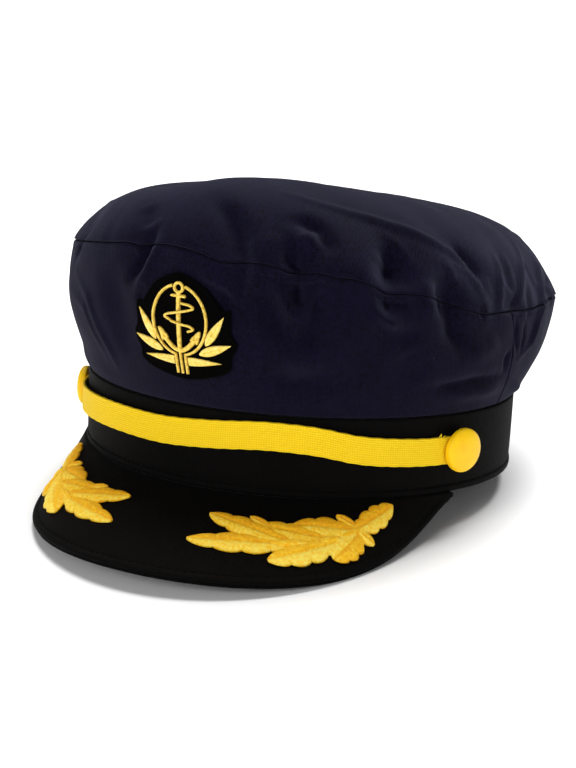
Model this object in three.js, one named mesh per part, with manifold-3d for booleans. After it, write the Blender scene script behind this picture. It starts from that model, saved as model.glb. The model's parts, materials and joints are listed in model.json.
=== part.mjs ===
import * as THREE from 'three';
import { mergeVertices } from 'three/addons/utils/BufferGeometryUtils.js';
import Module from 'manifold-3d';

const wasm = await Module();
wasm.setup();

// A captain's hat: a soft cloth crown on a stiff head band, with a peak, a chin strap and gold ornament.
// Sizes are in millimetres and angles in degrees, and a name that ends in _POWER is an exponent.
// The hat is drawn with its head band standing on z = 0, the front at -Y and the wearer's left at +X.
// At the end it is tipped back until it rests on the band's back edge and the peak's two low corners.

// Space left between pieces that touch in the real hat
const GAP = 0.3;

// Head band
const BAND_RADIUS = 91.5;
const BAND_HEIGHT = 29.6;
const BAND_WALL = 2.2;
const HEM_HEIGHT = 2.4;
const HEM_PROUD = 0.4;
const BAND_BEVEL = 0.4;
const BAND_PRESS = 4.2;
const BAND_PRESS_ANGLE = 120;
const BAND_PRESS_WIDE = 25;

// Crown: the side wall rises from the band to the top's seam, and the top puffs up from that seam
const CLOTH_WALL = 1.8;
const CROWN_INSET = 1;
const SEAM_HALF_WIDTH = 98.8;
const SEAM_HALF_LENGTH = 108.6;
const SEAM_SET_BACK = 6.9;
const SEAM_HEIGHT = 78.2;
const SEAM_FRONT_RISE = 2.2;
const SEAM_SIDE_DROP = 7;
const SEAM_LEFT_SAG = 4.4;
const SIDE_BULGE = 3.9;
const SIDE_BULGE_AT_FRONT = 0.7;
const SIDE_BULGE_AT_LEFT = -1.7;
const SIDE_BULGE_POWER = 0.85;
const PRESS_BULGE = 0.55;
const SIDE_SEAM_ANGLE = 76;
const SIDE_SEAM_LEAN = 7;
const PUFF_HEIGHT = 27.1;
const PUFF_AT_FRONT = 8.4;
const PUFF_AT_BACK = -2;
const PUFF_AT_LEFT = 8;
const PUFF_SHOULDER_POWER = 5.2;
const PUFF_ROLL_POWER = 1.3;
const TOP_SPREAD_POWER = 1.7;
const NORMAL_BLEND = 0.12;
const NORMAL_STEP = 0.02;

// Peak: a cloth cover over a lower facing, both held by a flat flange under the band
const PEAK_REACH = 46;
const PEAK_HALF_ANGLE = 66.4;
const PEAK_FLARE = 0.9;
const PEAK_ANGLE = 23;
const PEAK_END_ANGLE = 52;
const PEAK_ROUND_POWER = 2.06;
const PEAK_TAPER_POWER = 1.28;
const PEAK_STUB = 0.8;
const PEAK_COVER = 1.5;
const PEAK_FACING = 1.3;
const FACING_SET_IN = 0.5;
const LAYER_GAP = 0.4;
const PEAK_LIP = 0.4;

// Chin strap and its two buttons
const STRAP_WIDTH = 10.6;
const STRAP_THICKNESS = 1.3;
const STRAP_TAIL = 4;
const STRAP_BEVEL = 0.4;
const BUTTON_ANGLE = 66.5;
const BUTTON_HEIGHT = 16.6;
const BUTTON_RADIUS = 8.4;
const BUTTON_SIDE = 2.2;
const BUTTON_DOME = 2.3;
const BUTTON_BEVEL = 0.3;
const POST_RADIUS = 1.3;
const POST_HEAD_RADIUS = 3;
const POST_HEAD = 0.8;
const DRILL_LENGTH = 14;

// Badge on the front of the crown
const BADGE_ACROSS = 0.7;
const BADGE_HEIGHT = 62.6;
const PATCH_HALF_WIDTH = 21.5;
const PATCH_HALF_HEIGHT = 19.4;
const PATCH_THICKNESS = 1.2;
const RING_HALF_WIDTH = 10.3;
const RING_HALF_HEIGHT = 12.6;
const RING_CORD = 0.5;
const STEM_SPREAD = 1.9;
const STEM_FOOT = 19.8;
const ANCHOR_BAR = 0.8;
const ANCHOR_RELIEF = 1.1;
const ANCHOR_EYE = 1.6;
const ANCHOR_STOCK = 2.9;
const ANCHOR_ARM_SPAN = 5.8;
const ANCHOR_ARM_RISE = 4.6;
const FLUKE_LENGTH = 5.2;
const FLUKE_WIDTH = 3.2;
const FLUKE_SINK = 0.12;
const FLUKE_RELIEF = 1;
const ROPE_CORD = 0.5;
const ROPE_SWING = 5.4;
const ROPE_TOP = 7;
const ROPE_DROP = 11.4;
const ROPE_CLIMB = 2;
const LEAF_WIDTH = 3.3;
const LEAF_RELIEF = 1;
const LEAF_POWER = 0.75;
const LEAF_LEAN_POWER = 0.8;

// Oak leaf sprays on the peak
const SPRAY_LIFT = 0.5;
const SPRAY_RELIEF = 1.5;
const SPRAY_LEAF_WIDTH = 8;
const SPRAY_STEM_WIDTH = 3;
const LOBE_SHARE = 0.22;

// How finely the curved pieces are divided
const CROWN_STEPS = 64;
const TOP_RINGS = 9;
const SIDE_RINGS = 6;
const PEAK_STEPS = 32;
const STRAP_STEPS = 28;
const POST_STEPS = 12;
const BUTTON_STEPS = 16;
const PATCH_STEPS = 32;

// Main dents (deep below 0) and ridges of the crown. A row lies at an angle round the crown and at a place
// on the way up, where 0 is the band, 1 the top's seam and 2 the middle of the top. Its reach is wide degrees
// and tall on the way up. It leans by so many degrees for one whole step up, and deep is a share of
// PUFF_HEIGHT.
const FOLDS = [
  { angle: 10, at: 1.14, wide: 6, tall: 0.16, lean: -9, deep: -0.09 },
  { angle: 24, at: 1.08, wide: 4.5, tall: 0.08, lean: 0, deep: -0.11 },
  { angle: 25, at: 0.86, wide: 4, tall: 0.12, lean: 0, deep: -0.07 },
  { angle: 34, at: 1.12, wide: 6, tall: 0.14, lean: 0, deep: 0.04 },
  { angle: 45, at: 1.12, wide: 5, tall: 0.13, lean: 0, deep: -0.11 },
  { angle: 44, at: 0.9, wide: 5, tall: 0.1, lean: 0, deep: -0.05 },
  { angle: 58, at: 1.02, wide: 5, tall: 0.12, lean: -10, deep: -0.08 },
  { angle: 58, at: 0.72, wide: 8, tall: 0.14, lean: 0, deep: -0.05 },
  { angle: 65, at: 1.2, wide: 4.5, tall: 0.12, lean: -40, deep: -0.06 },
  { angle: 77, at: 1.12, wide: 5, tall: 0.16, lean: 0, deep: -0.06 },
  { angle: 92, at: 1.16, wide: 5, tall: 0.16, lean: 0, deep: -0.07 },
  { angle: -11, at: 0.98, wide: 5, tall: 0.14, lean: 15, deep: -0.09 },
  { angle: -20, at: 1.5, wide: 16, tall: 0.16, lean: 0, deep: -0.08 },
  { angle: -48, at: 0.24, wide: 24, tall: 0.24, lean: 0, deep: -0.08 },
  { angle: -40, at: 1.12, wide: 6, tall: 0.14, lean: 0, deep: -0.07 },
  { angle: -72, at: 1.1, wide: 6, tall: 0.14, lean: 0, deep: -0.08 },
  { angle: -112, at: 1.12, wide: 7, tall: 0.15, lean: 10, deep: -0.08 },
  { angle: -150, at: 1.1, wide: 7, tall: 0.14, lean: -10, deep: -0.09 },
  { angle: 168, at: 1.12, wide: 7, tall: 0.15, lean: 0, deep: -0.08 },
  { angle: 128, at: 1.1, wide: 7, tall: 0.14, lean: 8, deep: -0.09 },
  { angle: 145, at: 1.5, wide: 38, tall: 0.32, lean: 0, deep: -0.15 },
  { angle: 116, at: 1.2, wide: 16, tall: 0.15, lean: 0, deep: -0.03 },
];

// Where the middle of the strap runs: rise is above the buttons, as a share of STRAP_WIDTH, and slack is how
// far it stands off the band, as a share of STRAP_THICKNESS
const STRAP_ROUTE = [
  { angle: -BUTTON_ANGLE - STRAP_TAIL, rise: 0, slack: 0 },
  { angle: -BUTTON_ANGLE, rise: 0, slack: 0 },
  { angle: -42, rise: 0.16, slack: 0.7 },
  { angle: -22, rise: 0.24, slack: 0.4 },
  { angle: -6, rise: 0.26, slack: 0.1 },
  { angle: 6, rise: 0.4, slack: 0.1 },
  { angle: 20, rise: 0.56, slack: 0.5 },
  { angle: 30, rise: 0.48, slack: 0.6 },
  { angle: 40, rise: 0.2, slack: 0.3 },
  { angle: 52, rise: 0.05, slack: 0.1 },
  { angle: BUTTON_ANGLE, rise: 0, slack: 0 },
  { angle: BUTTON_ANGLE + STRAP_TAIL, rise: 0, slack: 0 },
];

// Right half of the badge patch's outline, from its top to its foot, as shares of its half width and its
// half height
const PATCH_OUTLINE = [
  { across: 0, up: 0.845 },
  { across: 0.42, up: 0.68 },
  { across: 0.61, up: 0.45 },
  { across: 0.72, up: 0.28 },
  { across: 0.85, up: 0.27 },
  { across: 0.86, up: -0.14 },
  { across: 0.96, up: -0.35 },
  { across: 0.85, up: -0.645 },
  { across: 0.84, up: -0.82 },
  { across: 0.62, up: -0.99 },
  { across: 0, up: -1.13 },
];

// The badge's leaves on one side, as shares of the patch's half width and half height
const BADGE_LEAVES = [
  { baseAcross: 0.456, baseUp: -0.42, tipAcross: 0.77, tipUp: 0.17, wide: 1 },
  { baseAcross: 0.335, baseUp: -0.6, tipAcross: 0.89, tipUp: -0.36, wide: 1.1 },
  { baseAcross: 0.12, baseUp: -0.765, tipAcross: 0.72, tipUp: -0.735, wide: 1 },
];

// Leaves of one spray. round is a share of the way from the peak's middle to its end, and out is a share of
// the way from the band to the peak's edge. wide is a share of SPRAY_LEAF_WIDTH, and lobes is how many waves
// a leaf's edge has.
const SPRAY_LEAVES = [
  { baseRound: 0.37, baseOut: 0.58, tipRound: 0.11, tipOut: 0.6, wide: 1, lobes: 4 },
  { baseRound: 0.37, baseOut: 0.47, tipRound: 0.14, tipOut: 0.28, wide: 0.95, lobes: 3 },
  { baseRound: 0.49, baseOut: 0.6, tipRound: 0.34, tipOut: 0.83, wide: 1.1, lobes: 2 },
  { baseRound: 0.57, baseOut: 0.44, tipRound: 0.4, tipOut: 0.32, wide: 1, lobes: 2 },
  { baseRound: 0.57, baseOut: 0.5, tipRound: 0.5, tipOut: 0.8, wide: 0.9, lobes: 2 },
  { baseRound: 0.56, baseOut: 0.46, tipRound: 0.72, tipOut: 0.16, wide: 1, lobes: 3 },
];
const SPRAY_STEM = [
  { round: 0.3, out: 0.5 },
  { round: 0.42, out: 0.55 },
  { round: 0.5, out: 0.53 },
  { round: 0.59, out: 0.47 },
];

// Finishes
const finish = (color, roughness) => new THREE.MeshStandardMaterial({ color, roughness, metalness: 0 });
const NAVY_TWILL = finish(0x20222f, 0.9);
const BLACK_RIB = finish(0x131214, 0.85);
const YELLOW_WEBBING = finish(0xf9d42c, 0.75);
const YELLOW_PLASTIC = finish(0xffcd1e, 0.45);
const BLACK_FELT = finish(0x0e0e10, 0.95);
const BADGE_THREAD = finish(0xdcb94e, 0.5);
const SPRAY_THREAD = finish(0xf7c445, 0.5);

const UP = new THREE.Vector3(0, 0, 1);
const radians = THREE.MathUtils.degToRad;
const smooth = (value, low, high) => THREE.MathUtils.smoothstep(value, low, high);

// Level direction that points out of the hat at an angle from the front, turning to the wearer's left
function outward(angle) {
  return new THREE.Vector3(Math.sin(radians(angle)), -Math.cos(radians(angle)), 0);
}

// Evenly spaced values from one number to another, both included
function steps(from, to, count) {
  return Array.from({ length: count + 1 }, (_, i) => from + ((to - from) * i) / count);
}

// Closed body from rings of points that are joined in turn. It ends in a point, or in a fan on its last ring,
// unless the last ring joins the first.
function loft(rings, { loop = false, start = null, end = null } = {}) {
  const around = rings[0].length;
  const points = rings.flat();
  const faces = [];
  const spans = loop ? rings.length : rings.length - 1;
  for (let i = 0; i < spans; i += 1) {
    const here = i * around;
    const next = ((i + 1) % rings.length) * around;
    for (let j = 0; j < around; j += 1) {
      const k = (j + 1) % around;
      faces.push(here + j, next + j, next + k, here + j, next + k, here + k);
    }
  }
  if (!loop) {
    const middle = (ring) => ring
      .reduce((sum, p) => sum.add(p), new THREE.Vector3()).divideScalar(ring.length);
    const last = (rings.length - 1) * around;
    points.push(start ?? middle(rings[0]), end ?? middle(rings.at(-1)));
    for (let j = 0; j < around; j += 1) {
      const k = (j + 1) % around;
      faces.push(points.length - 2, j, k, points.length - 1, last + k, last + j);
    }
  }
  return body(points, faces);
}

// Geometry of a closed body, turned so that its faces point out
function body(points, faces) {
  let volume = 0;
  for (let i = 0; i < faces.length; i += 3) {
    const [a, b, c] = [points[faces[i]], points[faces[i + 1]], points[faces[i + 2]]];
    volume += a.dot(new THREE.Vector3().crossVectors(b, c));
  }
  const index = volume < 0 ? faces.toReversed() : faces;
  const geometry = new THREE.BufferGeometry().setFromPoints(points);
  geometry.setIndex(index);
  geometry.computeVertexNormals();
  return geometry;
}

// Solid that can be joined and cut
function solid(geometry) {
  const bare = geometry.clone();
  bare.deleteAttribute('normal');
  bare.deleteAttribute('uv');
  const merged = mergeVertices(bare, 0.0001);
  const vertProperties = new Float32Array(merged.attributes.position.array);
  const triVerts = new Uint32Array(merged.index.array);
  return new wasm.Manifold(new wasm.Mesh({ numProp: 3, vertProperties, triVerts }));
}

function geometryOf(shape) {
  const mesh = shape.getMesh();
  const geometry = new THREE.BufferGeometry();
  geometry.setAttribute('position', new THREE.Float32BufferAttribute(mesh.vertProperties, 3));
  geometry.setIndex(Array.from(mesh.triVerts));
  geometry.computeVertexNormals();
  return geometry;
}

// Several bodies that overlap, joined into one
function joined(geometries) {
  return geometryOf(geometries.map(solid).reduce((whole, piece) => whole.add(piece)));
}

// How far the band's soft wall is pressed in, which it is on the wearer's left towards the back
function bandPress(angle) {
  const turn = THREE.MathUtils.euclideanModulo(angle - BAND_PRESS_ANGLE + 180, 360) - 180;
  return BAND_PRESS * Math.exp(-((turn / BAND_PRESS_WIDE) ** 2));
}

// Presses a turned shape in, as the band is
function pressed(geometry) {
  const places = geometry.getAttribute('position');
  const point = new THREE.Vector3();
  for (let i = 0; i < places.count; i += 1) {
    point.fromBufferAttribute(places, i);
    const angle = THREE.MathUtils.radToDeg(Math.atan2(point.x, -point.y));
    point.addScaledVector(outward(angle), -bandPress(angle));
    places.setXYZ(i, point.x, point.y, point.z);
  }
  return geometry;
}

// Crown surface without its folds
function plainCrown(angle, way) {
  const front = Math.cos(radians(angle));
  const left = Math.sin(radians(angle));
  const wave = SEAM_SIDE_DROP * Math.cos(2 * radians(angle));
  if (way <= 1) {
    const press = bandPress(angle);
    const foot = outward(angle).multiplyScalar(BAND_RADIUS - CROWN_INSET - press).setZ(BAND_HEIGHT + GAP);
    const seam = new THREE.Vector3(
      SEAM_HALF_WIDTH * left,
      SEAM_SET_BACK - SEAM_HALF_LENGTH * front,
      SEAM_HEIGHT + SEAM_FRONT_RISE * front + wave - SEAM_LEFT_SAG * left,
    );
    const bulge = SIDE_BULGE + SIDE_BULGE_AT_FRONT * front + SIDE_BULGE_AT_LEFT * left + PRESS_BULGE * press;
    const stand = bulge * Math.sin(Math.PI * way ** SIDE_BULGE_POWER);
    return foot.lerp(seam, way).addScaledVector(outward(angle), stand);
  }
  const inner = 1 - Math.min(way - 1, 1) ** TOP_SPREAD_POWER;
  const atEnds = (PUFF_AT_FRONT + PUFF_AT_BACK) / 2;
  const ends = (PUFF_AT_FRONT - atEnds) * front + atEnds * front ** 2;
  const puff = PUFF_HEIGHT + (ends + PUFF_AT_LEFT * left) * inner;
  const tilt = (SEAM_FRONT_RISE * front - SEAM_LEFT_SAG * left) * inner;
  const dome = puff * (1 - inner ** PUFF_SHOULDER_POWER) ** (1 / PUFF_ROLL_POWER);
  return new THREE.Vector3(
    SEAM_HALF_WIDTH * left * inner,
    SEAM_SET_BACK - SEAM_HALF_LENGTH * front * inner,
    SEAM_HEIGHT + tilt + wave * inner ** 2 + dome,
  );
}

// Direction out of the crown's surface, level at its foot and at its seam
function crownNormal(angle, way) {
  const side = new THREE.Vector3().subVectors(plainCrown(angle + 1, way), plainCrown(angle - 1, way));
  const rise = new THREE.Vector3().subVectors(
    plainCrown(angle, Math.min(way + NORMAL_STEP, 2 - NORMAL_STEP)),
    plainCrown(angle, Math.max(way - NORMAL_STEP, 0)),
  );
  const across = side.cross(rise).normalize();
  const level = way > 1 ? 1 - smooth(way, 1, 1 + NORMAL_BLEND) : 1;
  return across.lerp(outward(angle), level).normalize();
}

function foldDepth(angle, way) {
  let depth = 0;
  for (const fold of FOLDS) {
    const turn = THREE.MathUtils.euclideanModulo(angle - fold.angle + 180, 360) - 180;
    const across = (turn - fold.lean * (way - fold.at)) / fold.wide;
    const along = (way - fold.at) / fold.tall;
    depth += fold.deep * Math.exp(-(across ** 2) - along ** 2);
  }
  return depth * PUFF_HEIGHT * smooth(way, 0, 0.2);
}

// Point on the crown's outside, or lifted off it
function crownPoint(angle, way, lift = 0) {
  return plainCrown(angle, way).addScaledVector(crownNormal(angle, way), foldDepth(angle, way) + lift);
}

function crownTop() {
  const ring = (way, lift, rise) => steps(0, 360, CROWN_STEPS).slice(0, -1)
    .map((angle) => crownPoint(angle, way, lift).addScaledVector(UP, rise));
  const ways = steps(1, 2, TOP_RINGS).slice(0, -1);
  const outside = ways.map((way) => ring(way, 0, way === 1 ? GAP : 0));
  const inside = ways.map((way) => ring(way, -CLOTH_WALL, way === 1 ? GAP : 0)).reverse();
  const middle = plainCrown(0, 2);
  return loft([...outside.reverse(), ...inside.reverse()], {
    start: middle,
    end: middle.clone().setZ(middle.z - CLOTH_WALL),
  });
}

// Part of the crown's side wall between two side seams, which lean towards the back at their feet
function crownSide(from, to) {
  const ways = steps(0, 1, SIDE_RINGS);
  const count = Math.round(((to - from) / 360) * CROWN_STEPS);
  const margin = THREE.MathUtils.radToDeg(GAP / 2 / BAND_RADIUS);
  const middle = (from + to) / 2;
  const lean = from < 0 ? SIDE_SEAM_LEAN : -SIDE_SEAM_LEAN;
  const half = (way) => (to - from) / 2 - margin + lean * (1 - way);
  return loft(steps(-1, 1, count).map((share) => [
    ...ways.map((way) => crownPoint(middle + share * half(way), way)),
    ...ways.toReversed().map((way) => crownPoint(middle + share * half(way), way, -CLOTH_WALL)),
  ]));
}

// Button's axis at the middle of its seat on the strap
function buttonSeat(side) {
  const reach = BAND_RADIUS + GAP + STRAP_THICKNESS + GAP;
  return outward(side * BUTTON_ANGLE).multiplyScalar(reach).setZ(BUTTON_HEIGHT);
}

// Turns a shape that stands on +Y so that it stands out of the band at a button
function standAtButton(geometry, side) {
  const stands = new THREE.Vector3(0, 1, 0);
  const turn = new THREE.Quaternion().setFromUnitVectors(stands, outward(side * BUTTON_ANGLE));
  const seat = buttonSeat(side);
  return geometry.applyQuaternion(turn).translate(seat.x, seat.y, seat.z);
}

function withPostHoles(geometry) {
  return geometryOf([-1, 1].reduce((left, side) => {
    const drill = new THREE.CylinderGeometry(POST_RADIUS + GAP, POST_RADIUS + GAP, DRILL_LENGTH, POST_STEPS);
    return left.subtract(solid(standAtButton(drill, side)));
  }, solid(geometry)));
}

function headBand() {
  const inner = BAND_RADIUS - HEM_PROUD - BAND_WALL;
  const profile = [
    [inner, 0],
    [BAND_RADIUS - BAND_BEVEL, 0],
    [BAND_RADIUS, BAND_BEVEL],
    [BAND_RADIUS, HEM_HEIGHT],
    [BAND_RADIUS - HEM_PROUD, HEM_HEIGHT + HEM_PROUD],
    [BAND_RADIUS - HEM_PROUD, BAND_HEIGHT - BAND_BEVEL],
    [BAND_RADIUS - HEM_PROUD - BAND_BEVEL, BAND_HEIGHT],
    [inner, BAND_HEIGHT],
    [inner, 0],
  ];
  const ring = new THREE.LatheGeometry(profile.map(([x, y]) => new THREE.Vector2(x, y)), CROWN_STEPS);
  return withPostHoles(pressed(ring.rotateX(Math.PI / 2)));
}

// How far the peak reaches from the band and how steeply it drops, at a share of the way to its end
function peakAt(round) {
  const away = Math.min(Math.abs(round), 1);
  return {
    reach: PEAK_STUB + PEAK_REACH * (1 - away ** PEAK_ROUND_POWER) ** PEAK_TAPER_POWER,
    drop: radians(PEAK_ANGLE + PEAK_END_ANGLE * round ** 2),
  };
}

// Point at a depth under the peak's upper face. out is a share of the way to the edge, and below 0 on the
// flange.
function peakPoint(round, out, depth) {
  const angle = round * PEAK_HALF_ANGLE;
  const { reach, drop } = peakAt(round);
  const root = BAND_RADIUS + PEAK_FLARE;
  if (out < 0) {
    return outward(angle).multiplyScalar(BAND_RADIUS - HEM_PROUD - BAND_WALL).setZ(-GAP - depth);
  }
  const level = reach * out * Math.cos(drop) - depth * Math.tan(drop / 2);
  const down = reach * out * Math.sin(drop) + depth;
  return outward(angle).multiplyScalar(root + level).setZ(-GAP - down);
}

function peakLayer(depth, thickness, setIn) {
  const lip = (round) => PEAK_LIP / peakAt(round).reach;
  const edge = (round) => 1 - setIn / (PEAK_STUB + PEAK_REACH) - lip(round);
  const outs = (round) => [-1, 0, ...steps(0, edge(round), 4).slice(1)];
  const bottom = depth + thickness;
  return loft(steps(-1, 1, PEAK_STEPS).map((round) => [
    ...outs(round).map((out) => peakPoint(round, out, depth)),
    peakPoint(round, edge(round) + lip(round), (depth + bottom) / 2),
    ...outs(round).toReversed().map((out) => peakPoint(round, out, bottom)),
  ]));
}

// Point of the peak's upper face, lifted off it
function onPeak(round, out, lift) {
  const step = NORMAL_STEP / 2;
  const here = peakPoint(round, out, 0);
  const across = peakPoint(round + step, out, 0).sub(here);
  const along = peakPoint(round, out + step, 0).sub(here);
  const normal = across.cross(along).normalize();
  if (normal.z < 0) {
    normal.negate();
  }
  return here.addScaledVector(normal, lift);
}

function strap() {
  const route = new THREE.CatmullRomCurve3(
    STRAP_ROUTE.map((row) => new THREE.Vector3(row.angle, row.rise, row.slack)), false, 'chordal');
  const half = STRAP_WIDTH / 2;
  const section = [
    { up: -half, off: STRAP_BEVEL },
    { up: -half + STRAP_BEVEL, off: 0 },
    { up: half - STRAP_BEVEL, off: 0 },
    { up: half, off: STRAP_BEVEL },
    { up: half, off: STRAP_THICKNESS - STRAP_BEVEL },
    { up: half - STRAP_BEVEL, off: STRAP_THICKNESS },
    { up: -half + STRAP_BEVEL, off: STRAP_THICKNESS },
    { up: -half, off: STRAP_THICKNESS - STRAP_BEVEL },
  ];
  const rings = steps(0, 1, STRAP_STEPS).map((share) => {
    const { x: angle, y: rise, z: slack } = route.getPointAt(share);
    const stand = BAND_RADIUS + GAP + slack * STRAP_THICKNESS;
    return section.map(({ up, off }) => outward(angle).multiplyScalar(stand + off)
      .setZ(BUTTON_HEIGHT + rise * STRAP_WIDTH + up));
  });
  return withPostHoles(loft(rings));
}

// Domed button with its post, which passes through the strap and the band to a small flat head
function button(side) {
  const inside = -(GAP + STRAP_THICKNESS + GAP + HEM_PROUD + BAND_WALL + 2 * GAP);
  const dome = steps(0, 90, 4).map((angle) => [
    BUTTON_RADIUS * Math.cos(radians(angle)),
    BUTTON_SIDE + BUTTON_DOME * Math.sin(radians(angle)),
  ]);
  const profile = [
    [0, inside - POST_HEAD],
    [POST_HEAD_RADIUS, inside - POST_HEAD],
    [POST_HEAD_RADIUS, inside],
    [POST_RADIUS, inside],
    [POST_RADIUS, 0],
    [BUTTON_RADIUS - BUTTON_BEVEL, 0],
    ...dome.map(([x, y]) => [Math.max(x, 0), y]),
  ];
  profile.at(-1)[0] = 0;
  const turned = new THREE.LatheGeometry(profile.map(([x, y]) => new THREE.Vector2(x, y)), BUTTON_STEPS);
  return geometryOf(solid(standAtButton(turned, side)));
}

// Point of the badge, given across and up from its middle along the crown's front and a lift off the cloth
function onBadge(across, up, lift) {
  const angle = THREE.MathUtils.radToDeg((BADGE_ACROSS + across) / (BAND_RADIUS + SIDE_BULGE));
  const seam = plainCrown(angle, 1).z;
  const way = (BADGE_HEIGHT + up - BAND_HEIGHT) / (seam - BAND_HEIGHT);
  return crownPoint(angle, way, lift);
}

function patchCurve() {
  const place = ({ across, up }, side) => new THREE.Vector3(
    side * across * PATCH_HALF_WIDTH, up * PATCH_HALF_HEIGHT, 0);
  const right = PATCH_OUTLINE.map((row) => place(row, 1));
  const left = PATCH_OUTLINE.slice(1, -1).reverse().map((row) => place(row, -1));
  return new THREE.CatmullRomCurve3([...right, ...left], true, 'centripetal');
}

// Flat pad of the badge between two lifts, with an outline that its middle can see
function badgePad(outline, low, high) {
  const middle = outline.reduce((sum, p) => sum.add(p), new THREE.Vector3()).divideScalar(outline.length);
  const ring = (share, lift) => outline.map((p) => onBadge(
    middle.x + (p.x - middle.x) * share, middle.y + (p.y - middle.y) * share, lift));
  const shoulder = high - (high - low) / 4;
  const [inner, edge] = [0.5, 0.97];
  const rings = [ring(inner, low), ring(1, low), ring(1, shoulder), ring(edge, high), ring(inner, high)];
  return loft(rings, { start: onBadge(middle.x, middle.y, low), end: onBadge(middle.x, middle.y, high) });
}

function badgePatch() {
  return badgePad(patchCurve().getPoints(PATCH_STEPS).slice(0, -1), GAP, GAP + PATCH_THICKNESS);
}

// Section of a half-round cord, as shares of its half width and of its relief
const HALF_ROUND = [[-1, 0], [-0.7, 0.75], [0, 1], [0.7, 0.75], [1, 0]];

// Half-round cord that follows a path of badge points, as flat as the relief asks
function badgeCord(path, radius, relief, lift, loop = false) {
  return loft(path.map((p, i) => {
    const before = path[loop ? (i + path.length - 1) % path.length : Math.max(i - 1, 0)];
    const after = path[loop ? (i + 1) % path.length : Math.min(i + 1, path.length - 1)];
    const along = new THREE.Vector2(after.x - before.x, after.y - before.y).normalize();
    return HALF_ROUND.map(([side, high]) => onBadge(
      p.x + along.y * side * radius,
      p.y - along.x * side * radius,
      lift + (p.z ?? 0) + high * relief,
    ));
  }), { loop });
}

const BADGE_LIFT = GAP + PATCH_THICKNESS + GAP;

// One half of the badge's oval ring, which runs from the anchor's eye round one side and down to the foot
function badgeRing(side) {
  const clear = ANCHOR_EYE + ANCHOR_BAR / 2 + GAP + RING_CORD / 2;
  const from = Math.asin(clear / RING_HALF_WIDTH);
  const to = Math.PI - Math.asin(STEM_SPREAD / RING_HALF_WIDTH);
  const bend = steps(from, to, 14).map((angle) => new THREE.Vector3(
    side * RING_HALF_WIDTH * Math.sin(angle), RING_HALF_HEIGHT * Math.cos(angle), 0));
  const leg = steps(bend.at(-1).y - 2 * RING_CORD, -STEM_FOOT, 2)
    .map((up) => new THREE.Vector3(side * STEM_SPREAD, up, 0));
  return badgeCord([...bend, ...leg], RING_CORD, 2 * RING_CORD, BADGE_LIFT);
}

// The anchor in the ring: its eye, stock, long shank, curved arms and the flukes at their ends
function badgeAnchor() {
  const eyeUp = RING_HALF_HEIGHT - ANCHOR_BAR;
  const stockUp = eyeUp - ANCHOR_EYE - 1.5 * ANCHOR_BAR;
  const armsUp = -RING_HALF_HEIGHT + RING_CORD + GAP + ANCHOR_BAR;
  const at = (x, y) => new THREE.Vector3(x, y, 0);
  const bar = (path, share, loop = false) => badgeCord(
    path, ANCHOR_BAR * share, ANCHOR_RELIEF, BADGE_LIFT, loop);
  const eye = steps(0, 2 * Math.PI, 12).slice(0, -1)
    .map((angle) => at(ANCHOR_EYE * Math.sin(angle), eyeUp + ANCHOR_EYE * Math.cos(angle)));
  const arms = steps(-1, 1, 10).map((share) => at(
    ANCHOR_ARM_SPAN * share, armsUp + ANCHOR_ARM_RISE * (1 - Math.cos(share * Math.PI / 2))));
  // An arrow head at the end of an arm. Its axis leans out by 30 degrees.
  const fluke = (side) => {
    const root = at(side * ANCHOR_ARM_SPAN, armsUp + ANCHOR_ARM_RISE);
    const [leanOut, leanUp] = [Math.sin(radians(30)), Math.cos(radians(30))];
    const along = at(side * leanOut, leanUp).multiplyScalar(FLUKE_LENGTH);
    const across = at(leanUp, -side * leanOut).multiplyScalar(FLUKE_WIDTH / 2);
    const tip = root.clone().addScaledVector(along, 3 / 4);
    const back = root.clone().addScaledVector(along, -1 / 4);
    const outline = [tip, back.clone().add(across), root.clone(), back.clone().sub(across)];
    return badgePad(outline, BADGE_LIFT - FLUKE_SINK, BADGE_LIFT + FLUKE_RELIEF);
  };
  return joined([
    bar(eye, 0.55, true),
    bar(steps(eyeUp - ANCHOR_EYE, armsUp, 6).map((up) => at(0, up)), 1),
    bar(steps(armsUp + ANCHOR_BAR, -STEM_FOOT, 4).map((up) => at(0, up)), 0.7),
    bar(steps(-ANCHOR_STOCK, ANCHOR_STOCK, 2).map((across) => at(across, stockUp)), 0.7),
    bar(arms, 1),
    fluke(-1),
    fluke(1),
  ]);
}

// Rope that winds down over the shank
function badgeRope() {
  const over = ANCHOR_RELIEF + GAP;
  const path = steps(0.03, 0.93, 20).map((share) => {
    const swing = ROPE_SWING * Math.sin(share * Math.PI * 3);
    const near = ANCHOR_BAR + 2 * ROPE_CORD;
    const clear = 1 - smooth(Math.abs(swing), near, near + ROPE_CLIMB);
    return new THREE.Vector3(swing, ROPE_TOP - ROPE_DROP * share, over * clear);
  });
  return badgeCord(path, ROPE_CORD, 2 * ROPE_CORD, BADGE_LIFT);
}

// Section of a leaf, from one edge over its top to the other and back along its flat side
const LEAF_SECTION = [[-1, 0], [-0.62, 0.8], [0, 1], [0.62, 0.8], [1, 0], [0, 0]];

// Pointed leaf between two places, which place() lays on a surface with a lift
function leaf({ base, tip, width, relief, lift, lobes, place }, count) {
  const along = new THREE.Vector2(tip.x - base.x, tip.y - base.y);
  const side = new THREE.Vector2(-along.y, along.x).normalize();
  const point = (share, off, high) => place(
    base.x + along.x * share + side.x * off, base.y + along.y * share + side.y * off, lift + high);
  const rings = steps(0, 1, count).slice(1, -1).map((share) => {
    const wave = lobes ? 1 + LOBE_SHARE * Math.cos(2 * Math.PI * lobes * (share - 0.1)) : 1;
    const half = (width / 2) * Math.sin(Math.PI * share ** LEAF_LEAN_POWER) ** LEAF_POWER * wave;
    const high = (relief / 2) * (1 + Math.sin(Math.PI * share));
    return LEAF_SECTION.map(([s, h]) => point(share, s * half, h * high));
  });
  return loft(rings, { start: point(0, 0, relief * 0.2), end: point(1, 0, relief * 0.1) });
}

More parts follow.
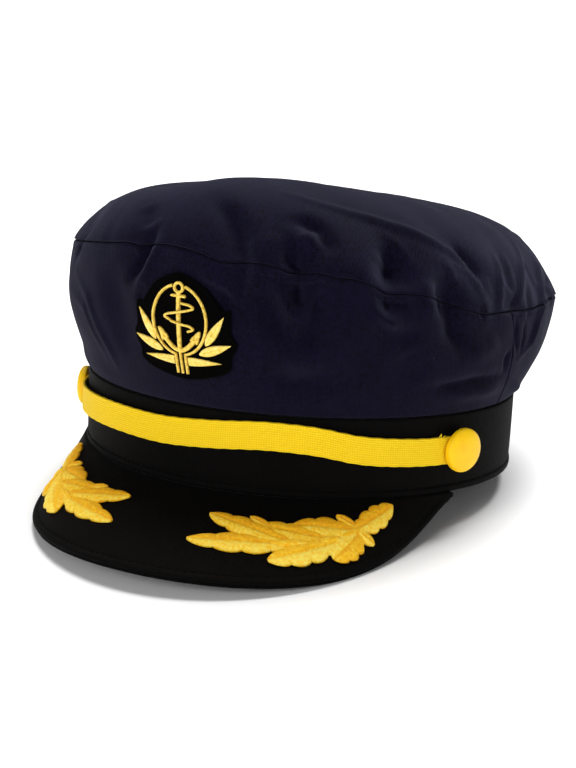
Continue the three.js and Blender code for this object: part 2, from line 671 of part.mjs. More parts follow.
function badgeLeaf(row, side) {
  return leaf({
    base: new THREE.Vector2(side * row.baseAcross * PATCH_HALF_WIDTH, row.baseUp * PATCH_HALF_HEIGHT),
    tip: new THREE.Vector2(side * row.tipAcross * PATCH_HALF_WIDTH, row.tipUp * PATCH_HALF_HEIGHT),
    width: LEAF_WIDTH * row.wide,
    relief: LEAF_RELIEF,
    lift: BADGE_LIFT,
    lobes: 0,
    place: onBadge,
  }, 7);
}

const STEM_SECTION = [[-1, 0], [-0.6, 0.9], [0.6, 0.9], [1, 0]];

// One spray. Places on the peak are kept in millimetres round and out, so that leaves keep their width.
function spray(side) {
  const roundLength = radians(PEAK_HALF_ANGLE) * (BAND_RADIUS + PEAK_REACH / 2);
  const outAt = (x, y) => y / peakAt(x / roundLength).reach;
  const place = (x, y, lift) => onPeak((side * x) / roundLength, outAt(x, y), lift);
  const spot = (round, out) => new THREE.Vector2(round * roundLength, out * peakAt(round).reach);
  const leaves = SPRAY_LEAVES.map((row) => leaf({
    base: spot(row.baseRound, row.baseOut),
    tip: spot(row.tipRound, row.tipOut),
    width: SPRAY_LEAF_WIDTH * row.wide,
    relief: SPRAY_RELIEF,
    lift: SPRAY_LIFT,
    lobes: row.lobes,
    place,
  }, 2 * row.lobes + 3));
  const route = SPRAY_STEM.map((row) => spot(row.round, row.out));
  const stem = loft(route.map((p, i) => {
    const before = route[Math.max(i - 1, 0)];
    const after = route[Math.min(i + 1, route.length - 1)];
    const along = new THREE.Vector2().subVectors(after, before).setLength(SPRAY_STEM_WIDTH / 2);
    return STEM_SECTION.map(([s, h]) => place(
      p.x - along.y * s, p.y + along.x * s, SPRAY_LIFT + h * SPRAY_RELIEF));
  }));
  return joined([stem, ...leaves]);
}

// The hat's pieces, in the hat's own frame
const hat = new THREE.Group();

function add(name, geometry, material) {
  const mesh = new THREE.Mesh(geometry, material);
  mesh.name = name;
  hat.add(mesh);
  return mesh;
}

add('crown_top', crownTop(), NAVY_TWILL);
add('crown_side_front', crownSide(-SIDE_SEAM_ANGLE, SIDE_SEAM_ANGLE), NAVY_TWILL);
add('crown_side_back', crownSide(SIDE_SEAM_ANGLE, 360 - SIDE_SEAM_ANGLE), NAVY_TWILL);
const band = add('band', headBand(), BLACK_RIB);
const cover = add('peak', peakLayer(0, PEAK_COVER, 0), BLACK_RIB);
const facing = add('peak_facing', peakLayer(PEAK_COVER + LAYER_GAP, PEAK_FACING, FACING_SET_IN), BLACK_RIB);
add('strap', strap(), YELLOW_WEBBING);
add('button_left', button(1), YELLOW_PLASTIC);
add('button_right', button(-1), YELLOW_PLASTIC);
add('badge_patch', badgePatch(), BLACK_FELT);
add('badge_ring_left', badgeRing(1), BADGE_THREAD);
add('badge_ring_right', badgeRing(-1), BADGE_THREAD);
add('badge_anchor', badgeAnchor(), BADGE_THREAD);
add('badge_rope', badgeRope(), BADGE_THREAD);
BADGE_LEAVES.forEach((row, i) => {
  add(`badge_leaf_left_${i + 1}`, badgeLeaf(row, 1), BADGE_THREAD);
  add(`badge_leaf_right_${i + 1}`, badgeLeaf(row, -1), BADGE_THREAD);
});
add('spray_left', spray(1), SPRAY_THREAD);
add('spray_right', spray(-1), SPRAY_THREAD);

// Lowest height of a piece when the hat is tipped back by an angle
function lowest(mesh, tip) {
  const position = mesh.geometry.attributes.position;
  let low = Infinity;
  for (let i = 0; i < position.count; i += 1) {
    low = Math.min(low, position.getZ(i) * Math.cos(tip) - position.getY(i) * Math.sin(tip));
  }
  return low;
}

// Angle at which the band's back edge and the peak's low corners touch the same floor
function restingTip() {
  let low = 0;
  let high = radians(30);
  for (let i = 0; i < 40; i += 1) {
    const middle = (low + high) / 2;
    const peakHeight = Math.min(lowest(facing, middle), lowest(cover, middle));
    if (peakHeight < lowest(band, middle)) {
      low = middle;
    } else {
      high = middle;
    }
  }
  return (low + high) / 2;
}

// Stand the hat on z = 0 with the middle of its foot at the origin
hat.rotation.x = -restingTip();
hat.updateMatrixWorld(true);
const box = new THREE.Box3().setFromObject(hat, true);
const middle = box.getCenter(new THREE.Vector3());
hat.position.set(-middle.x, -middle.y, -box.min.z);

const captainHat = new THREE.Group();
captainHat.add(hat);

export default captainHat;
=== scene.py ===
"""Captain's hat: a soft navy crown, a black band and peak, a yellow chin strap and gold thread ornament.

The script is laid out as a Blender add-on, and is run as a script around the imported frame.
Pieces are drawn in millimetres on an upright hat, whose front is at -Y and whose wearer's left is at +X,
and are then placed in the frame. Angles are in degrees, round the hat from its front to the wearer's left.
"""

import json
import math

import bmesh
import bpy
import numpy as np
from bpy.props import FloatProperty
from bpy.props import FloatVectorProperty
from bpy.props import PointerProperty
from mathutils import Matrix
from mathutils import Vector


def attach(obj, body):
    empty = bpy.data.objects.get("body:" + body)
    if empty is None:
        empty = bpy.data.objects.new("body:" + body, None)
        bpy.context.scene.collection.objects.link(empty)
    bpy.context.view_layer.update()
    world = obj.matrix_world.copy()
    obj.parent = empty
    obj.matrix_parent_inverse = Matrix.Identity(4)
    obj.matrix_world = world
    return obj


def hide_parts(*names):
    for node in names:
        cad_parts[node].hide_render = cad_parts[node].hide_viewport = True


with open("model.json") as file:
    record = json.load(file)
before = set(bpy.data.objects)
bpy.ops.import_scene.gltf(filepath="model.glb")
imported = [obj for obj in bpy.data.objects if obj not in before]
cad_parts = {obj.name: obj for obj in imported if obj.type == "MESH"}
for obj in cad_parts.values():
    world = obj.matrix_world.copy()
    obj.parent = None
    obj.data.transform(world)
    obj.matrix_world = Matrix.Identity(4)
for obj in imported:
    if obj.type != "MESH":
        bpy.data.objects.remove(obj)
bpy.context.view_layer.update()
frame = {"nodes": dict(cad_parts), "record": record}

bl_info = {
    "name": "Captain Hat",
    "version": (1, 0, 0),
    "blender": (4, 5, 0),
    "location": "View3D > Sidebar > Captain Hat",
    "description": "Dresses a captain's hat in cloth, webbing and gold thread",
    "category": "Object",
}

MM = 0.001

# Space that the solids leave between pieces
GAP = 0.3

# Head band
BAND_RADIUS = 91.5
BAND_HEIGHT = 29.6
BAND_WALL = 2.2
HEM_HEIGHT = 2.4
HEM_PROUD = 0.4
BAND_PRESS = 4.2
BAND_PRESS_ANGLE = 120
BAND_PRESS_WIDE = 25
BAND_STEPS = 288

# Rounded places of the band's section: the rolled hem, the rim and the slight belly of the wall
HEM_ROUND = 0.6
RIM_IN = 0.55
RIM_DOWN = 0.7
WALL_BELLY = 0.1

# Crown
CLOTH_THICKNESS = 0.9
CROWN_INSET = 1
SEAM_HALF_WIDTH = 98.8
SEAM_HALF_LENGTH = 108.6
SEAM_SET_BACK = 6.9
SEAM_HEIGHT = 78.2
SEAM_FRONT_RISE = 2.2
SEAM_SIDE_DROP = 7
SEAM_LEFT_SAG = 4.4
SIDE_BULGE = 3.9
SIDE_BULGE_AT_FRONT = 0.7
SIDE_BULGE_AT_LEFT = -1.7
SIDE_BULGE_LEAN = 0.85
PRESS_BULGE = 0.55
SIDE_SEAM_ANGLE = 76
SIDE_SEAM_LEAN = 7
PUFF_HEIGHT = 27.1
PUFF_AT_FRONT = 8.4
PUFF_AT_BACK = -2
PUFF_AT_LEFT = 8
PUFF_SHOULDER = 5.2
PUFF_ROLL = 1.3
TOP_SPREAD = 1.7
SEAM_ROLL = 1.0
SEAM_ALLOWANCE = 2.1
ALLOWANCE_TURN = 1.2
SEAM_NORMAL_REACH = 1.12
STITCHES_ABOVE_SEAM = 1.9
STITCHES_BELOW_SEAM = 2.6
STITCH_DIMPLE = 0.16
STITCH_DIMPLE_WIDE = 0.45
CROWN_COLUMNS = 500
FRONT_COLUMNS = 380
BACK_COLUMNS = 320
TOP_ROWS = 92
SIDE_ROWS = 72

# Peak
PEAK_REACH = 46
PEAK_HALF_ANGLE = 66.4
PEAK_FLARE = 0.9
PEAK_DROP = 23
PEAK_DROP_AT_ENDS = 52
PEAK_ROUNDNESS = 2.06
PEAK_TAPER = 1.28
PEAK_STUB = 0.8
PEAK_COVER = 1.5
PEAK_FACING = 1.3
FACING_SET_IN = 0.5
LAYER_GAP = 0.4
PEAK_COLUMNS = 220
PEAK_FACE_ROWS = 18
PEAK_STITCHES_IN = 2.9
PEAK_STITCHES_END = 0.93
PEAK_STITCHES_SUNK = 0.14
PEAK_GROOVE = 0.3
PEAK_GROOVE_WIDE = 0.55

# Chin strap and buttons
STRAP_WIDTH = 10.6
STRAP_THICKNESS = 1.3
STRAP_RIBS = 13
STRAP_RIB_DEPTH = 0.16
STRAP_EDGE_WAVE = 0.07
STRAP_EDGE_WAVES = 97
STRAP_COLUMNS = 300
BUTTON_ANGLE = 66.5
BUTTON_HEIGHT = 16.6
BUTTON_RADIUS = 8.4
BUTTON_SIDE = 2.2
BUTTON_DOME = 2.3
BUTTON_ROUNDING = 0.75
BUTTON_STEPS = 72
POST_RADIUS = 1.3
POST_HEAD_RADIUS = 3
POST_HEAD = 0.8

# Badge
BADGE_ACROSS = 0.7
BADGE_HEIGHT = 62.6
PATCH_HALF_WIDTH = 21.5
PATCH_HALF_HEIGHT = 19.4
PATCH_THICKNESS = 1.2
BADGE_LIFT = GAP + PATCH_THICKNESS + 0.1
RING_HALF_WIDTH = 10.3
RING_HALF_HEIGHT = 12.6
RING_CORD = 0.55
STEM_SPREAD = 1.9
STEM_FOOT = 19.8
ANCHOR_BAR = 0.85
ANCHOR_RELIEF = 1.1
ANCHOR_EYE = 1.6
ANCHOR_STOCK = 2.9
ANCHOR_ARM_SPAN = 6.1
ANCHOR_ARM_RISE = 4.6
FLUKE_LENGTH = 5.2
FLUKE_WIDTH = 2.6
ROPE_CORD = 0.5
ROPE_SWING = 5.4
ROPE_TOP = 7
ROPE_DROP = 11.4
LEAF_WIDTH = 3.3
LEAF_RELIEF = 0.9
LEAF_COLUMNS = 72
PATCH_COLUMNS = 200
# Colours of the badge's thread in painted shade and in painted highlight
BADGE_SHADE_AND_HIGHLIGHT = ((0.62, 0.37, 0.04), (1.0, 0.82, 0.30))

# Oak leaf sprays
SPRAY_LIFT = 0.3
SPRAY_RELIEF = 1.7
SPRAY_LEAF_WIDTH = 8.4
SPRAY_LEAF_COLUMNS = 120
SPRAY_STEM_WIDTH = 3
SPRAY_STEM_COLUMNS = 40
# Colours of the spray's thread in painted shade and in painted highlight
SPRAY_SHADE_AND_HIGHLIGHT = ((0.88, 0.38, 0.005), (1.0, 0.80, 0.13))

# Thread
STITCH_LENGTH = 2.2
STITCH_PITCH = 2.9
STITCH_RADIUS = 0.18
THREAD_PITCH = 0.5
CORD_STEP = 0.16

# Distance in millimetres at which two vertices are joined
JOIN_DISTANCE = 0.0005

# Main dents and ridges of the crown, as in the solids. A row lies at an angle and at a place on the way up,
# where 0 is the band, 1 the top's seam and 2 the middle of the top. deep is a share of PUFF_HEIGHT.
FOLD_COLUMNS = ("angle", "at", "wide", "tall", "lean", "deep")
FOLDS = (
    (10, 1.14, 6, 0.16, -9, -0.09),
    (24, 1.08, 4.5, 0.08, 0, -0.11),
    (25, 0.86, 4, 0.12, 0, -0.07),
    (34, 1.12, 6, 0.14, 0, 0.04),
    (45, 1.12, 5, 0.13, 0, -0.11),
    (44, 0.9, 5, 0.1, 0, -0.05),
    (58, 1.02, 5, 0.12, -10, -0.08),
    (58, 0.72, 8, 0.14, 0, -0.05),
    (65, 1.2, 4.5, 0.12, -40, -0.06),
    (77, 1.12, 5, 0.16, 0, -0.06),
    (92, 1.16, 5, 0.16, 0, -0.07),
    (-11, 0.98, 5, 0.14, 15, -0.09),
    (-20, 1.5, 16, 0.16, 0, -0.08),
    (-48, 0.24, 24, 0.24, 0, -0.08),
    (-40, 1.12, 6, 0.14, 0, -0.07),
    (-72, 1.1, 6, 0.14, 0, -0.08),
    (-112, 1.12, 7, 0.15, 10, -0.08),
    (-150, 1.1, 7, 0.14, -10, -0.09),
    (168, 1.12, 7, 0.15, 0, -0.08),
    (128, 1.1, 7, 0.14, 8, -0.09),
    (145, 1.5, 38, 0.32, 0, -0.15),
    (116, 1.2, 16, 0.15, 0, -0.03),
)

# Creases and soft ridges of the cloth: half width and depth in millimetres, a raised lip on one side, and the
# (angle, way) places that the crease runs along
CREASES = (
    (2, -3.6, 0.5, ((-8.5, 1.118), (-9.6, 1.021), (-11, 0.915), (-12.8, 0.835), (-14.8, 0.772))),
    (2.4, 1.75, 0, ((-5.8, 1.034), (-8, 0.9), (-10.1, 0.756), (-11.2, 0.639))),
    (1.7, -1.65, 0, ((-9, 0.773), (-10, 0.719), (-11.2, 0.658))),
    (4.5, -1.57, 0, ((-14.6, 1.225), (-11.8, 1.171), (-10.4, 1.125))),
    (1.7, 1.05, 0.2, ((-39.1, 0.795), (-29.9, 0.618), (-26.4, 0.423), (-23.3, 0.271), (-21.9, 0.152))),
    (1.7, 0.9, 0.2, ((-46.1, 0.666), (-32.7, 0.54), (-29.5, 0.368), (-25.9, 0.216))),
    (8, -2.45, 0, ((-21.4, 0.865), (-18.5, 0.659), (-16.5, 0.437), (-15.6, 0.253))),
    (3, -2.1, 0, ((8.1, 0.82), (9.9, 0.781), (11.5, 0.712))),
    (2, 1.22, 0, ((3.6, 0.912), (8.5, 0.866), (11.6, 0.813), (12.9, 0.744))),
    (4.2, -3.5, 0.5, ((3.4, 1.29), (8.2, 1.226), (12.1, 1.134), (13.7, 1.001), (13.5, 0.836), (13.4, 0.736))),
    (3.6, 1.57, 0, ((13.9, 1.196), (15.4, 1.084), (15.5, 0.948), (15.1, 0.769))),
    (1.7, -3.9, 0, ((25.3, 0.996), (24, 1.043), (22.5, 1.07))),
    (2, -2.8, 0, ((22.5, 1.058), (22.9, 1.104), (24.1, 1.146))),
    (4.2, 2.62, 0, ((25.4, 1.13), (26, 1.17), (24.8, 1.194))),
    (2.8, -2.62, 0.4, ((22.5, 1.224), (25.4, 1.238), (28.3, 1.213), (30.1, 1.159), (30.2, 1.108))),
    (3.5, 1.4, 0, ((18.6, 1.175), (19.9, 1.105), (21.4, 1.027))),
    (2.4, -3.32, 0, ((24.7, 0.961), (24.6, 0.872), (24.9, 0.776))),
    (2, 1.93, 0, ((20.8, 0.903), (22.5, 0.827), (23.6, 0.75), (25, 0.719))),
    (2, 1.93, 0, ((25, 0.719), (26.6, 0.768), (27.1, 0.849), (27.4, 0.919))),
    (4, -2.98, 0, ((17.3, 0.857), (18.8, 0.751), (20.7, 0.643), (23.6, 0.566))),
    (3, -2.98, 0.2, ((28.8, 0.915), (28.8, 0.807), (28.5, 0.699), (27.2, 0.597), (24.8, 0.544))),
    (2.2, 1.05, 0, ((16.8, 0.931), (15.3, 0.845), (14.5, 0.754))),
    (3.2, -3.3, 0, ((44, 1.222), (44.6, 1.163), (44.7, 1.083))),
    (6, -1.75, 0, ((44.4, 1.162), (44.2, 1.046))),
    (1.3, 0.75, 0, ((43.8, 1.269), (46.3, 1.238), (48.4, 1.188), (49.6, 1.134))),
    (1.1, -1.8, 0, ((42.3, 0.956), (43.5, 0.882))),
    (1.1, -1.8, 0, ((43.6, 0.972), (45.3, 0.9))),
    (1.1, -1.2, 0, ((45.4, 0.962), (46.7, 0.903))),
    (2.4, 2.27, 0, ((38.9, 0.913), (41.6, 0.82), (44.2, 0.784), (46.8, 0.797))),
    (3.2, -2.1, 0, ((39.9, 0.762), (43.4, 0.69), (47, 0.675), (50.6, 0.719))),
    (3.8, -3.9, 0, ((57.3, 1.141), (57.4, 1.073), (57.4, 0.931), (59.5, 0.749), (61.8, 0.614))),
    (1.2, -1.8, -0.5, ((55.3, 1.103), (55.3, 1.019), (56.3, 0.876))),
    (3, 1.4, 0, ((52.8, 1.11), (51.8, 1.001), (53.2, 0.828))),
    (5, 1.4, 0, ((64, 0.6), (68.6, 0.638), (72.6, 0.736))),
    (1.7, 1.2, -0.2,
     ((18.7, 1.383), (27.7, 1.354), (35.4, 1.329), (42.3, 1.321), (48.7, 1.308), (54.4, 1.276),
      (60.4, 1.248), (63.9, 1.21), (66.4, 1.139), (68.3, 1.076))),
    (1, 0.52, 0, ((59.6, 1.202), (63.5, 1.179), (66, 1.13), (67.5, 1.064))),
    (1.2, 0.9, 0, ((58, 1.196), (59, 1.149), (59.9, 1.099))),
    (1.3, -1.8, -0.3, ((62.3, 1.284), (64, 1.243), (65.8, 1.202), (67.7, 1.164))),
    (1.3, 0.9, 0, ((68, 1.184), (69.2, 1.136), (69.8, 1.092))),
    (1.3, 1.35, 0, ((75.8, 1.269), (75.1, 1.202), (73.5, 1.125), (71.5, 1.026))),
    (1.3, 1.2, 0, ((80.4, 1.281), (79.7, 1.212), (79, 1.146), (77.7, 1.07))),
    (1.5, 1.35, 0, ((95.3, 1.355), (91.2, 1.279), (85.3, 1.203), (81.2, 1.118), (77.7, 0.987))),
    (1.3, 1.05, 0, ((91.8, 1.26), (91.4, 1.193), (92.2, 1.107))),
    (1.8, 1.8, 0.3,
     ((101.9, 1.242), (97.1, 1.166), (92.1, 1.067), (88.4, 0.862), (87.1, 0.635), (82.9, 0.508))),
    (1.1, 0.9, 0, ((74.9, 1.16), (76.6, 1.111), (77.3, 1.055))),
    (1, -1.2, 0, ((65.8, 1.055), (66, 0.961))),
    (1, -1.35, 0, ((74.5, 1.08), (74.5, 0.986))),
    (1.1, -1.5, 0, ((78.1, 1.092), (75.7, 0.976))),
    (1.8, -1.5, 0, ((104.3, 1.146), (95.7, 1.056))),
    (1.6, -1.2, 0, ((86.5, 1.159), (83.7, 1.068), (82.3, 0.924))),
    (1.5, -1.2, 0, ((77.5, 0.609), (76.9, 0.509), (78.2, 0.381))),
    (1.2, -1.05, 0, ((77.7, 0.909), (78.9, 0.728), (80.9, 0.578))),
    (1.2, -0.9, 0, ((81.2, 0.885), (82.7, 0.716), (82.5, 0.572))),
    (3, 1.22, 0, ((83.1, 0.293), (94.8, 0.055), (91.6, 0))),
    (2.4, -2.62, 0, ((55.6, 0.272), (61, 0.287), (67.3, 0.324), (76.4, 0.357))),
    (3, 1.4, 0, ((62, 0.188), (69.6, 0.197), (79, 0.207))),
    (4.5, -1.93, 0, ((17.9, 0.268), (25.9, 0.275), (35.3, 0.326))),
    (5, 1.57, 0, ((22.1, 0.394), (26.4, 0.399), (30.2, 0.443))),
    (6, -1.4, 0, ((47.5, 0.582), (49.6, 0.457), (53, 0.361))),
    (7, 1.57, 0, ((32.9, 0.525), (35.9, 0.682), (37.3, 0.832))),
    (2.6, -1.6, 0.2, ((-36, 1.18), (-39, 1.0), (-41, 0.86))),
    (2.6, -1.6, 0.3, ((-70, 1.2), (-72, 1.0))),
    (2.4, -1.5, 0, ((-98, 1.2), (-101, 1.0), (-99, 0.84))),
    (2.6, -1.8, 0.3, ((-128, 1.24), (-124, 1.02), (-126, 0.9))),
    (2.0, 0.9, 0, ((-134, 1.2), (-131, 1.02))),
    (3.0, -1.9, 0.2, ((-166, 1.18), (-168, 0.96))),
    (2.8, -1.7, 0.3, ((150, 1.2), (146, 1.0), (149, 0.8))),
    (1.6, 1.0, 0, ((158, 1.22), (155, 1.04))),
    (2.4, -1.5, 0, ((112, 1.2), (115, 1.02))),
    (2.2, 0.9, 0, ((122, 1.24), (120, 1.0), (123, 0.84))),
    (4.5, 1.2, 0.3, ((118, 0.6), (146, 0.42), (172, 0.3))),
    (4.0, -1.3, 0.2, ((124, 0.44), (150, 0.28), (172, 0.18))),
    (4.5, 1.2, 0.2, ((-104, 0.34), (-126, 0.52), (-150, 0.66))),
    (3.4, -1.2, 0.2, ((-92, 0.5), (-112, 0.66), (-132, 0.82))),
    (3.0, -1.0, 0.3, ((-60, 0.3), (-78, 0.22), (-96, 0.3))),
    (1.8, 0.8, -0.2, ((-150, 1.3), (-110, 1.36), (-70, 1.34), (-40, 1.3))),
    (1.8, 0.8, 0.2, ((110, 1.34), (140, 1.3), (170, 1.34))),
)

# How far the top's seam wanders up or down, in millimetres, at angles round the hat
SEAM_ANGLES = (
    -180, -150, -120, -95, -72, -60, -40, -20, -15.5, -11.5, -7, -3, 1.5, 5, 8, 11, 14.5, 17, 20.5,
    23.5, 25.5, 28.5, 32, 35.5, 39, 43, 47, 50.5, 54.5, 60, 67, 73, 78.5, 85, 93, 120, 150, 180,
)
SEAM_RISES = (
    -0.5, 1.0, -1.1, 1.0, 1.3, 1.0, -0.6, -0.5, -0.1, -0.8, 0.6, 1.0, 0.5, -0.5, -1.8, -1.9, -0.6, 0.2, 0.0,
    -1.2, -0.8, 1.0, 1.0, 1.5, 1.2, -1.2, 0.0, 0.9, 0.3, -1.1, -2.3, -1.0, -0.3, 0.1, 1.7, -0.9, 1.0, -0.5,
)
SEAM_WANDER_REACH = 11

# Irregular swells of the crown's cloth: seed, length of the waves and depth, in millimetres
SWELLS = ((3, 24, 0.16), (4, 9, 0.04))

# How strongly the cloth gathers along the top's seam: strength in millimetres at angles round the hat
GATHER_ANGLES = (-180, -130, -80, -40, 0, 30, 60, 70, 88, 100, 120, 180)
GATHER_STRENGTHS = (0.3, 0.4, 0.35, 0.2, 0.16, 0.22, 0.3, 0.5, 0.6, 0.5, 0.35, 0.3)
GATHER_SEED = 11
GATHER_RIPPLES = 9
GATHER_WAVES = (38, 76)
GATHER_REACH_ABOVE = 9
GATHER_REACH_BELOW = 5

# Middle of the strap: rise above the buttons as a share of its width, and slack as a share of its thickness
STRAP_ANGLES = (-70.5, -66.5, -42, -22, -6, 6, 20, 30, 40, 52, 66.5, 70.5)
STRAP_RISES = (0, 0, 0.16, 0.24, 0.26, 0.4, 0.56, 0.48, 0.2, 0.05, 0, 0)
STRAP_SLACKS = (0, 0, 0.7, 0.4, 0.1, 0.1, 0.5, 0.6, 0.3, 0.1, 0, 0)

# Loose ends of thread beside the left button: angle, start above the buttons, height and how far they lean
LOOSE_THREADS = ((59.9, 5.2, 2.4, 0.3), (60.4, 5.0, 2.9, -0.3), (60.9, 5.1, 1.8, 0.7))

# Right half of the badge patch's outline, from its top to its foot, as shares of its half width and height
PATCH_OUTLINE = (
    (0, 0.845), (0.42, 0.68), (0.61, 0.45), (0.72, 0.28), (0.85, 0.27), (0.86, -0.14),
    (0.96, -0.35), (0.85, -0.645), (0.84, -0.82), (0.62, -0.99), (0, -1.13),
)

# Half section of a satin cord, as shares of its half width and its relief
CORD_SECTION = (
    (-1, 0), (-0.9, 0.45), (-0.65, 0.78), (-0.3, 0.96), (0, 1),
    (0.3, 0.96), (0.65, 0.78), (0.9, 0.45), (1, 0), (0, -0.1),
)

# Badge leaves on one side: base across and up, tip across and up, as shares of the patch, then the share of
# LEAF_WIDTH and how blunt the base is
BADGE_LEAVES = (
    (0.456, -0.42, 0.77, 0.17, 1.0, 0.0),
    (0.335, -0.6, 0.89, -0.36, 1.1, 0.0),
    (0.12, -0.765, 0.72, -0.735, 1.0, 0.3),
)

# Leaves of one spray: base and tip as shares round and out on the peak, share of width, lobes and extra lift,
# then the painted light of the leaf's upper and lower halves, from 0 in shade to 1 where the thread shines
SPRAY_COLUMNS = ("base_round", "base_out", "tip_round", "tip_out", "wide", "lobes", "lift", "upper", "lower")
SPRAY_LEAVES = (
    (0.41, 0.58, 0.115, 0.60, 1.12, 4, 0.0, 0.35, 0.8),
    (0.41, 0.60, 0.14, 0.29, 1.1, 4, 0.2, 0.3, 0.7),
    (0.53, 0.60, 0.29, 0.36, 1.15, 3, 0.1, 0.35, 0.65),
    (0.53, 0.58, 0.333, 0.765, 1.25, 4, 0.35, 0.5, 0.9),
    (0.59, 0.47, 0.39, 0.34, 1.15, 3, 0.3, 0.25, 0.75),
    (0.60, 0.47, 0.505, 0.80, 1.35, 4, 0.2, 0.85, 0.5),
    (0.57, 0.47, 0.725, 0.14, 1.15, 4, 0.3, 0.3, 0.8),
    (0.34, 0.42, 0.262, 0.27, 0.5, 0, 0.1, 0.3, 0.6),
    (0.59, 0.45, 0.525, 0.22, 0.55, 0, 0.1, 0.3, 0.6),
    (0.585, 0.46, 0.632, 0.74, 0.6, 0, 0.1, 0.6, 0.8),
)
SPRAY_STEM = ((0.33, 0.575), (0.45, 0.575), (0.53, 0.53), (0.6, 0.45))

# Camera, given against the hat as the photograph shows it, and the hat's lean there
VIEW_AZIMUTH = 28.218
VIEW_ELEVATION = 17.275
VIEW_DISTANCE = 569.5
VIEW_RIGHT = -5.84
VIEW_UP = 22.87
VIEW_LEAN = 6.271
VIEW_LENS = 61.93
VIEW_SENSOR = 36

# Soft lights: where each comes from, how strong it is and how many degrees wide it spreads
LIGHTS = {
    "light_left": ((-0.35, -1.5, 0.8), 1.27, 35),
    "light_right": ((1.4, -0.8, 0.5), 0.5, 50),
    "light_above": ((-0.1, 0.85, 1.65), 5.1, 40),
}
WORLD_LIGHT = 0.13
FLOOR_HALF_SIZE = 30


def length_choice(name, description, default, low, high):
    return FloatProperty(
        name=name,
        description=description,
        default=default,
        min=low,
        max=high,
        unit="LENGTH",
        precision=5,
    )


def colour_choice(name, description, default):
    return FloatVectorProperty(
        name=name,
        description=description,
        default=default,
        size=3,
        min=0.0,
        max=1.0,
        subtype="COLOR",
    )


class HatSizes(bpy.types.PropertyGroup):
    """Sizes that change how the hat is made up"""

    cloth: length_choice("Cloth thickness", "Thickness of the crown's cloth",
                         CLOTH_THICKNESS * MM, 0.0003, 0.002)
    folds: FloatProperty(
        name="Folds",
        description="How strongly the crown's small folds and creases show",
        default=1.0,
        min=0.0,
        max=1.5,
        subtype="FACTOR",
    )
    stitch_length: length_choice("Stitch length", "Length of each stitch along the seams",
                                 STITCH_LENGTH * MM, 0.001, 0.004)
    stitch_pitch: length_choice("Stitch spacing", "Distance from one stitch to the next",
                                STITCH_PITCH * MM, 0.0015, 0.006)
    rib_depth: length_choice("Strap rib depth", "Depth of the grooves between the strap's ribs",
                             STRAP_RIB_DEPTH * MM, 0.0, 0.0004)


class HatColours(bpy.types.PropertyGroup):
    """Colours of the hat's cloth, webbing and thread"""

    navy: colour_choice("Crown navy", "Colour of the crown's twill", (0.0021, 0.0016, 0.0062))
    black: colour_choice("Band black", "Colour of the band's and the peak's cloth", (0.0013, 0.0011, 0.0010))
    webbing: colour_choice("Strap yellow", "Colour of the chin strap's webbing", (0.96, 0.69, 0.012))
    button: colour_choice("Button yellow", "Colour of the two buttons", (0.99, 0.64, 0.002))
    badge: colour_choice("Badge gold", "Colour of the badge's thread", (0.97, 0.70, 0.12))
    spray: colour_choice("Spray gold", "Colour of the thread of the leaves on the peak", (1.0, 0.58, 0.010))


def hat_matrix():
    """Places the upright hat, drawn in millimetres, where the frame has it"""
    mount = next(m for m in frame["record"]["mounts"] if m["name"] == "band_rim")
    tip = math.atan2(-mount["axis"][1], -mount["axis"][2])
    turn = Matrix.Rotation(-tip, 4, "X")
    placed = np.array([v.co for v in frame["nodes"]["band"].data.vertices])
    upright = placed @ np.array(turn.to_3x3())
    low, high = upright.min(axis=0), upright.max(axis=0)
    centre = Vector((low[0] + BAND_RADIUS * MM, (low[1] + high[1]) / 2, low[2]))
    return turn @ Matrix.Translation(centre) @ Matrix.Scale(MM, 4)


HAT = hat_matrix()


def smoothstep(value, low, high):
    share = np.clip((value - low) / (high - low), 0, 1)
    return share * share * (3 - 2 * share)


def outward(angle):
    """Level direction out of the hat at an angle"""
    turn = np.radians(angle)
    return np.stack([np.sin(turn), -np.cos(turn), np.zeros_like(turn)], axis=-1)


def unit(vectors):
    return vectors / np.maximum(np.linalg.norm(vectors, axis=-1, keepdims=True), 1e-9)


def turned(angle, middle):
    """Angle measured from a middle one, the short way round"""
    return (angle - middle + 180) % 360 - 180


def lengths_along(path):
    """Length from a path's start to each of its points"""
    return np.concatenate([[0], np.cumsum(np.linalg.norm(np.diff(path, axis=0), axis=1))])


def step_at(share, count):
    """Whole step of a grid at a share of its count"""
    return np.rint(share * count).astype(int)


def band_press(angle):
    """How far the band's soft wall is pressed in, on the wearer's left towards the back"""
    return BAND_PRESS * np.exp(-(turned(angle, BAND_PRESS_ANGLE) / BAND_PRESS_WIDE) ** 2)


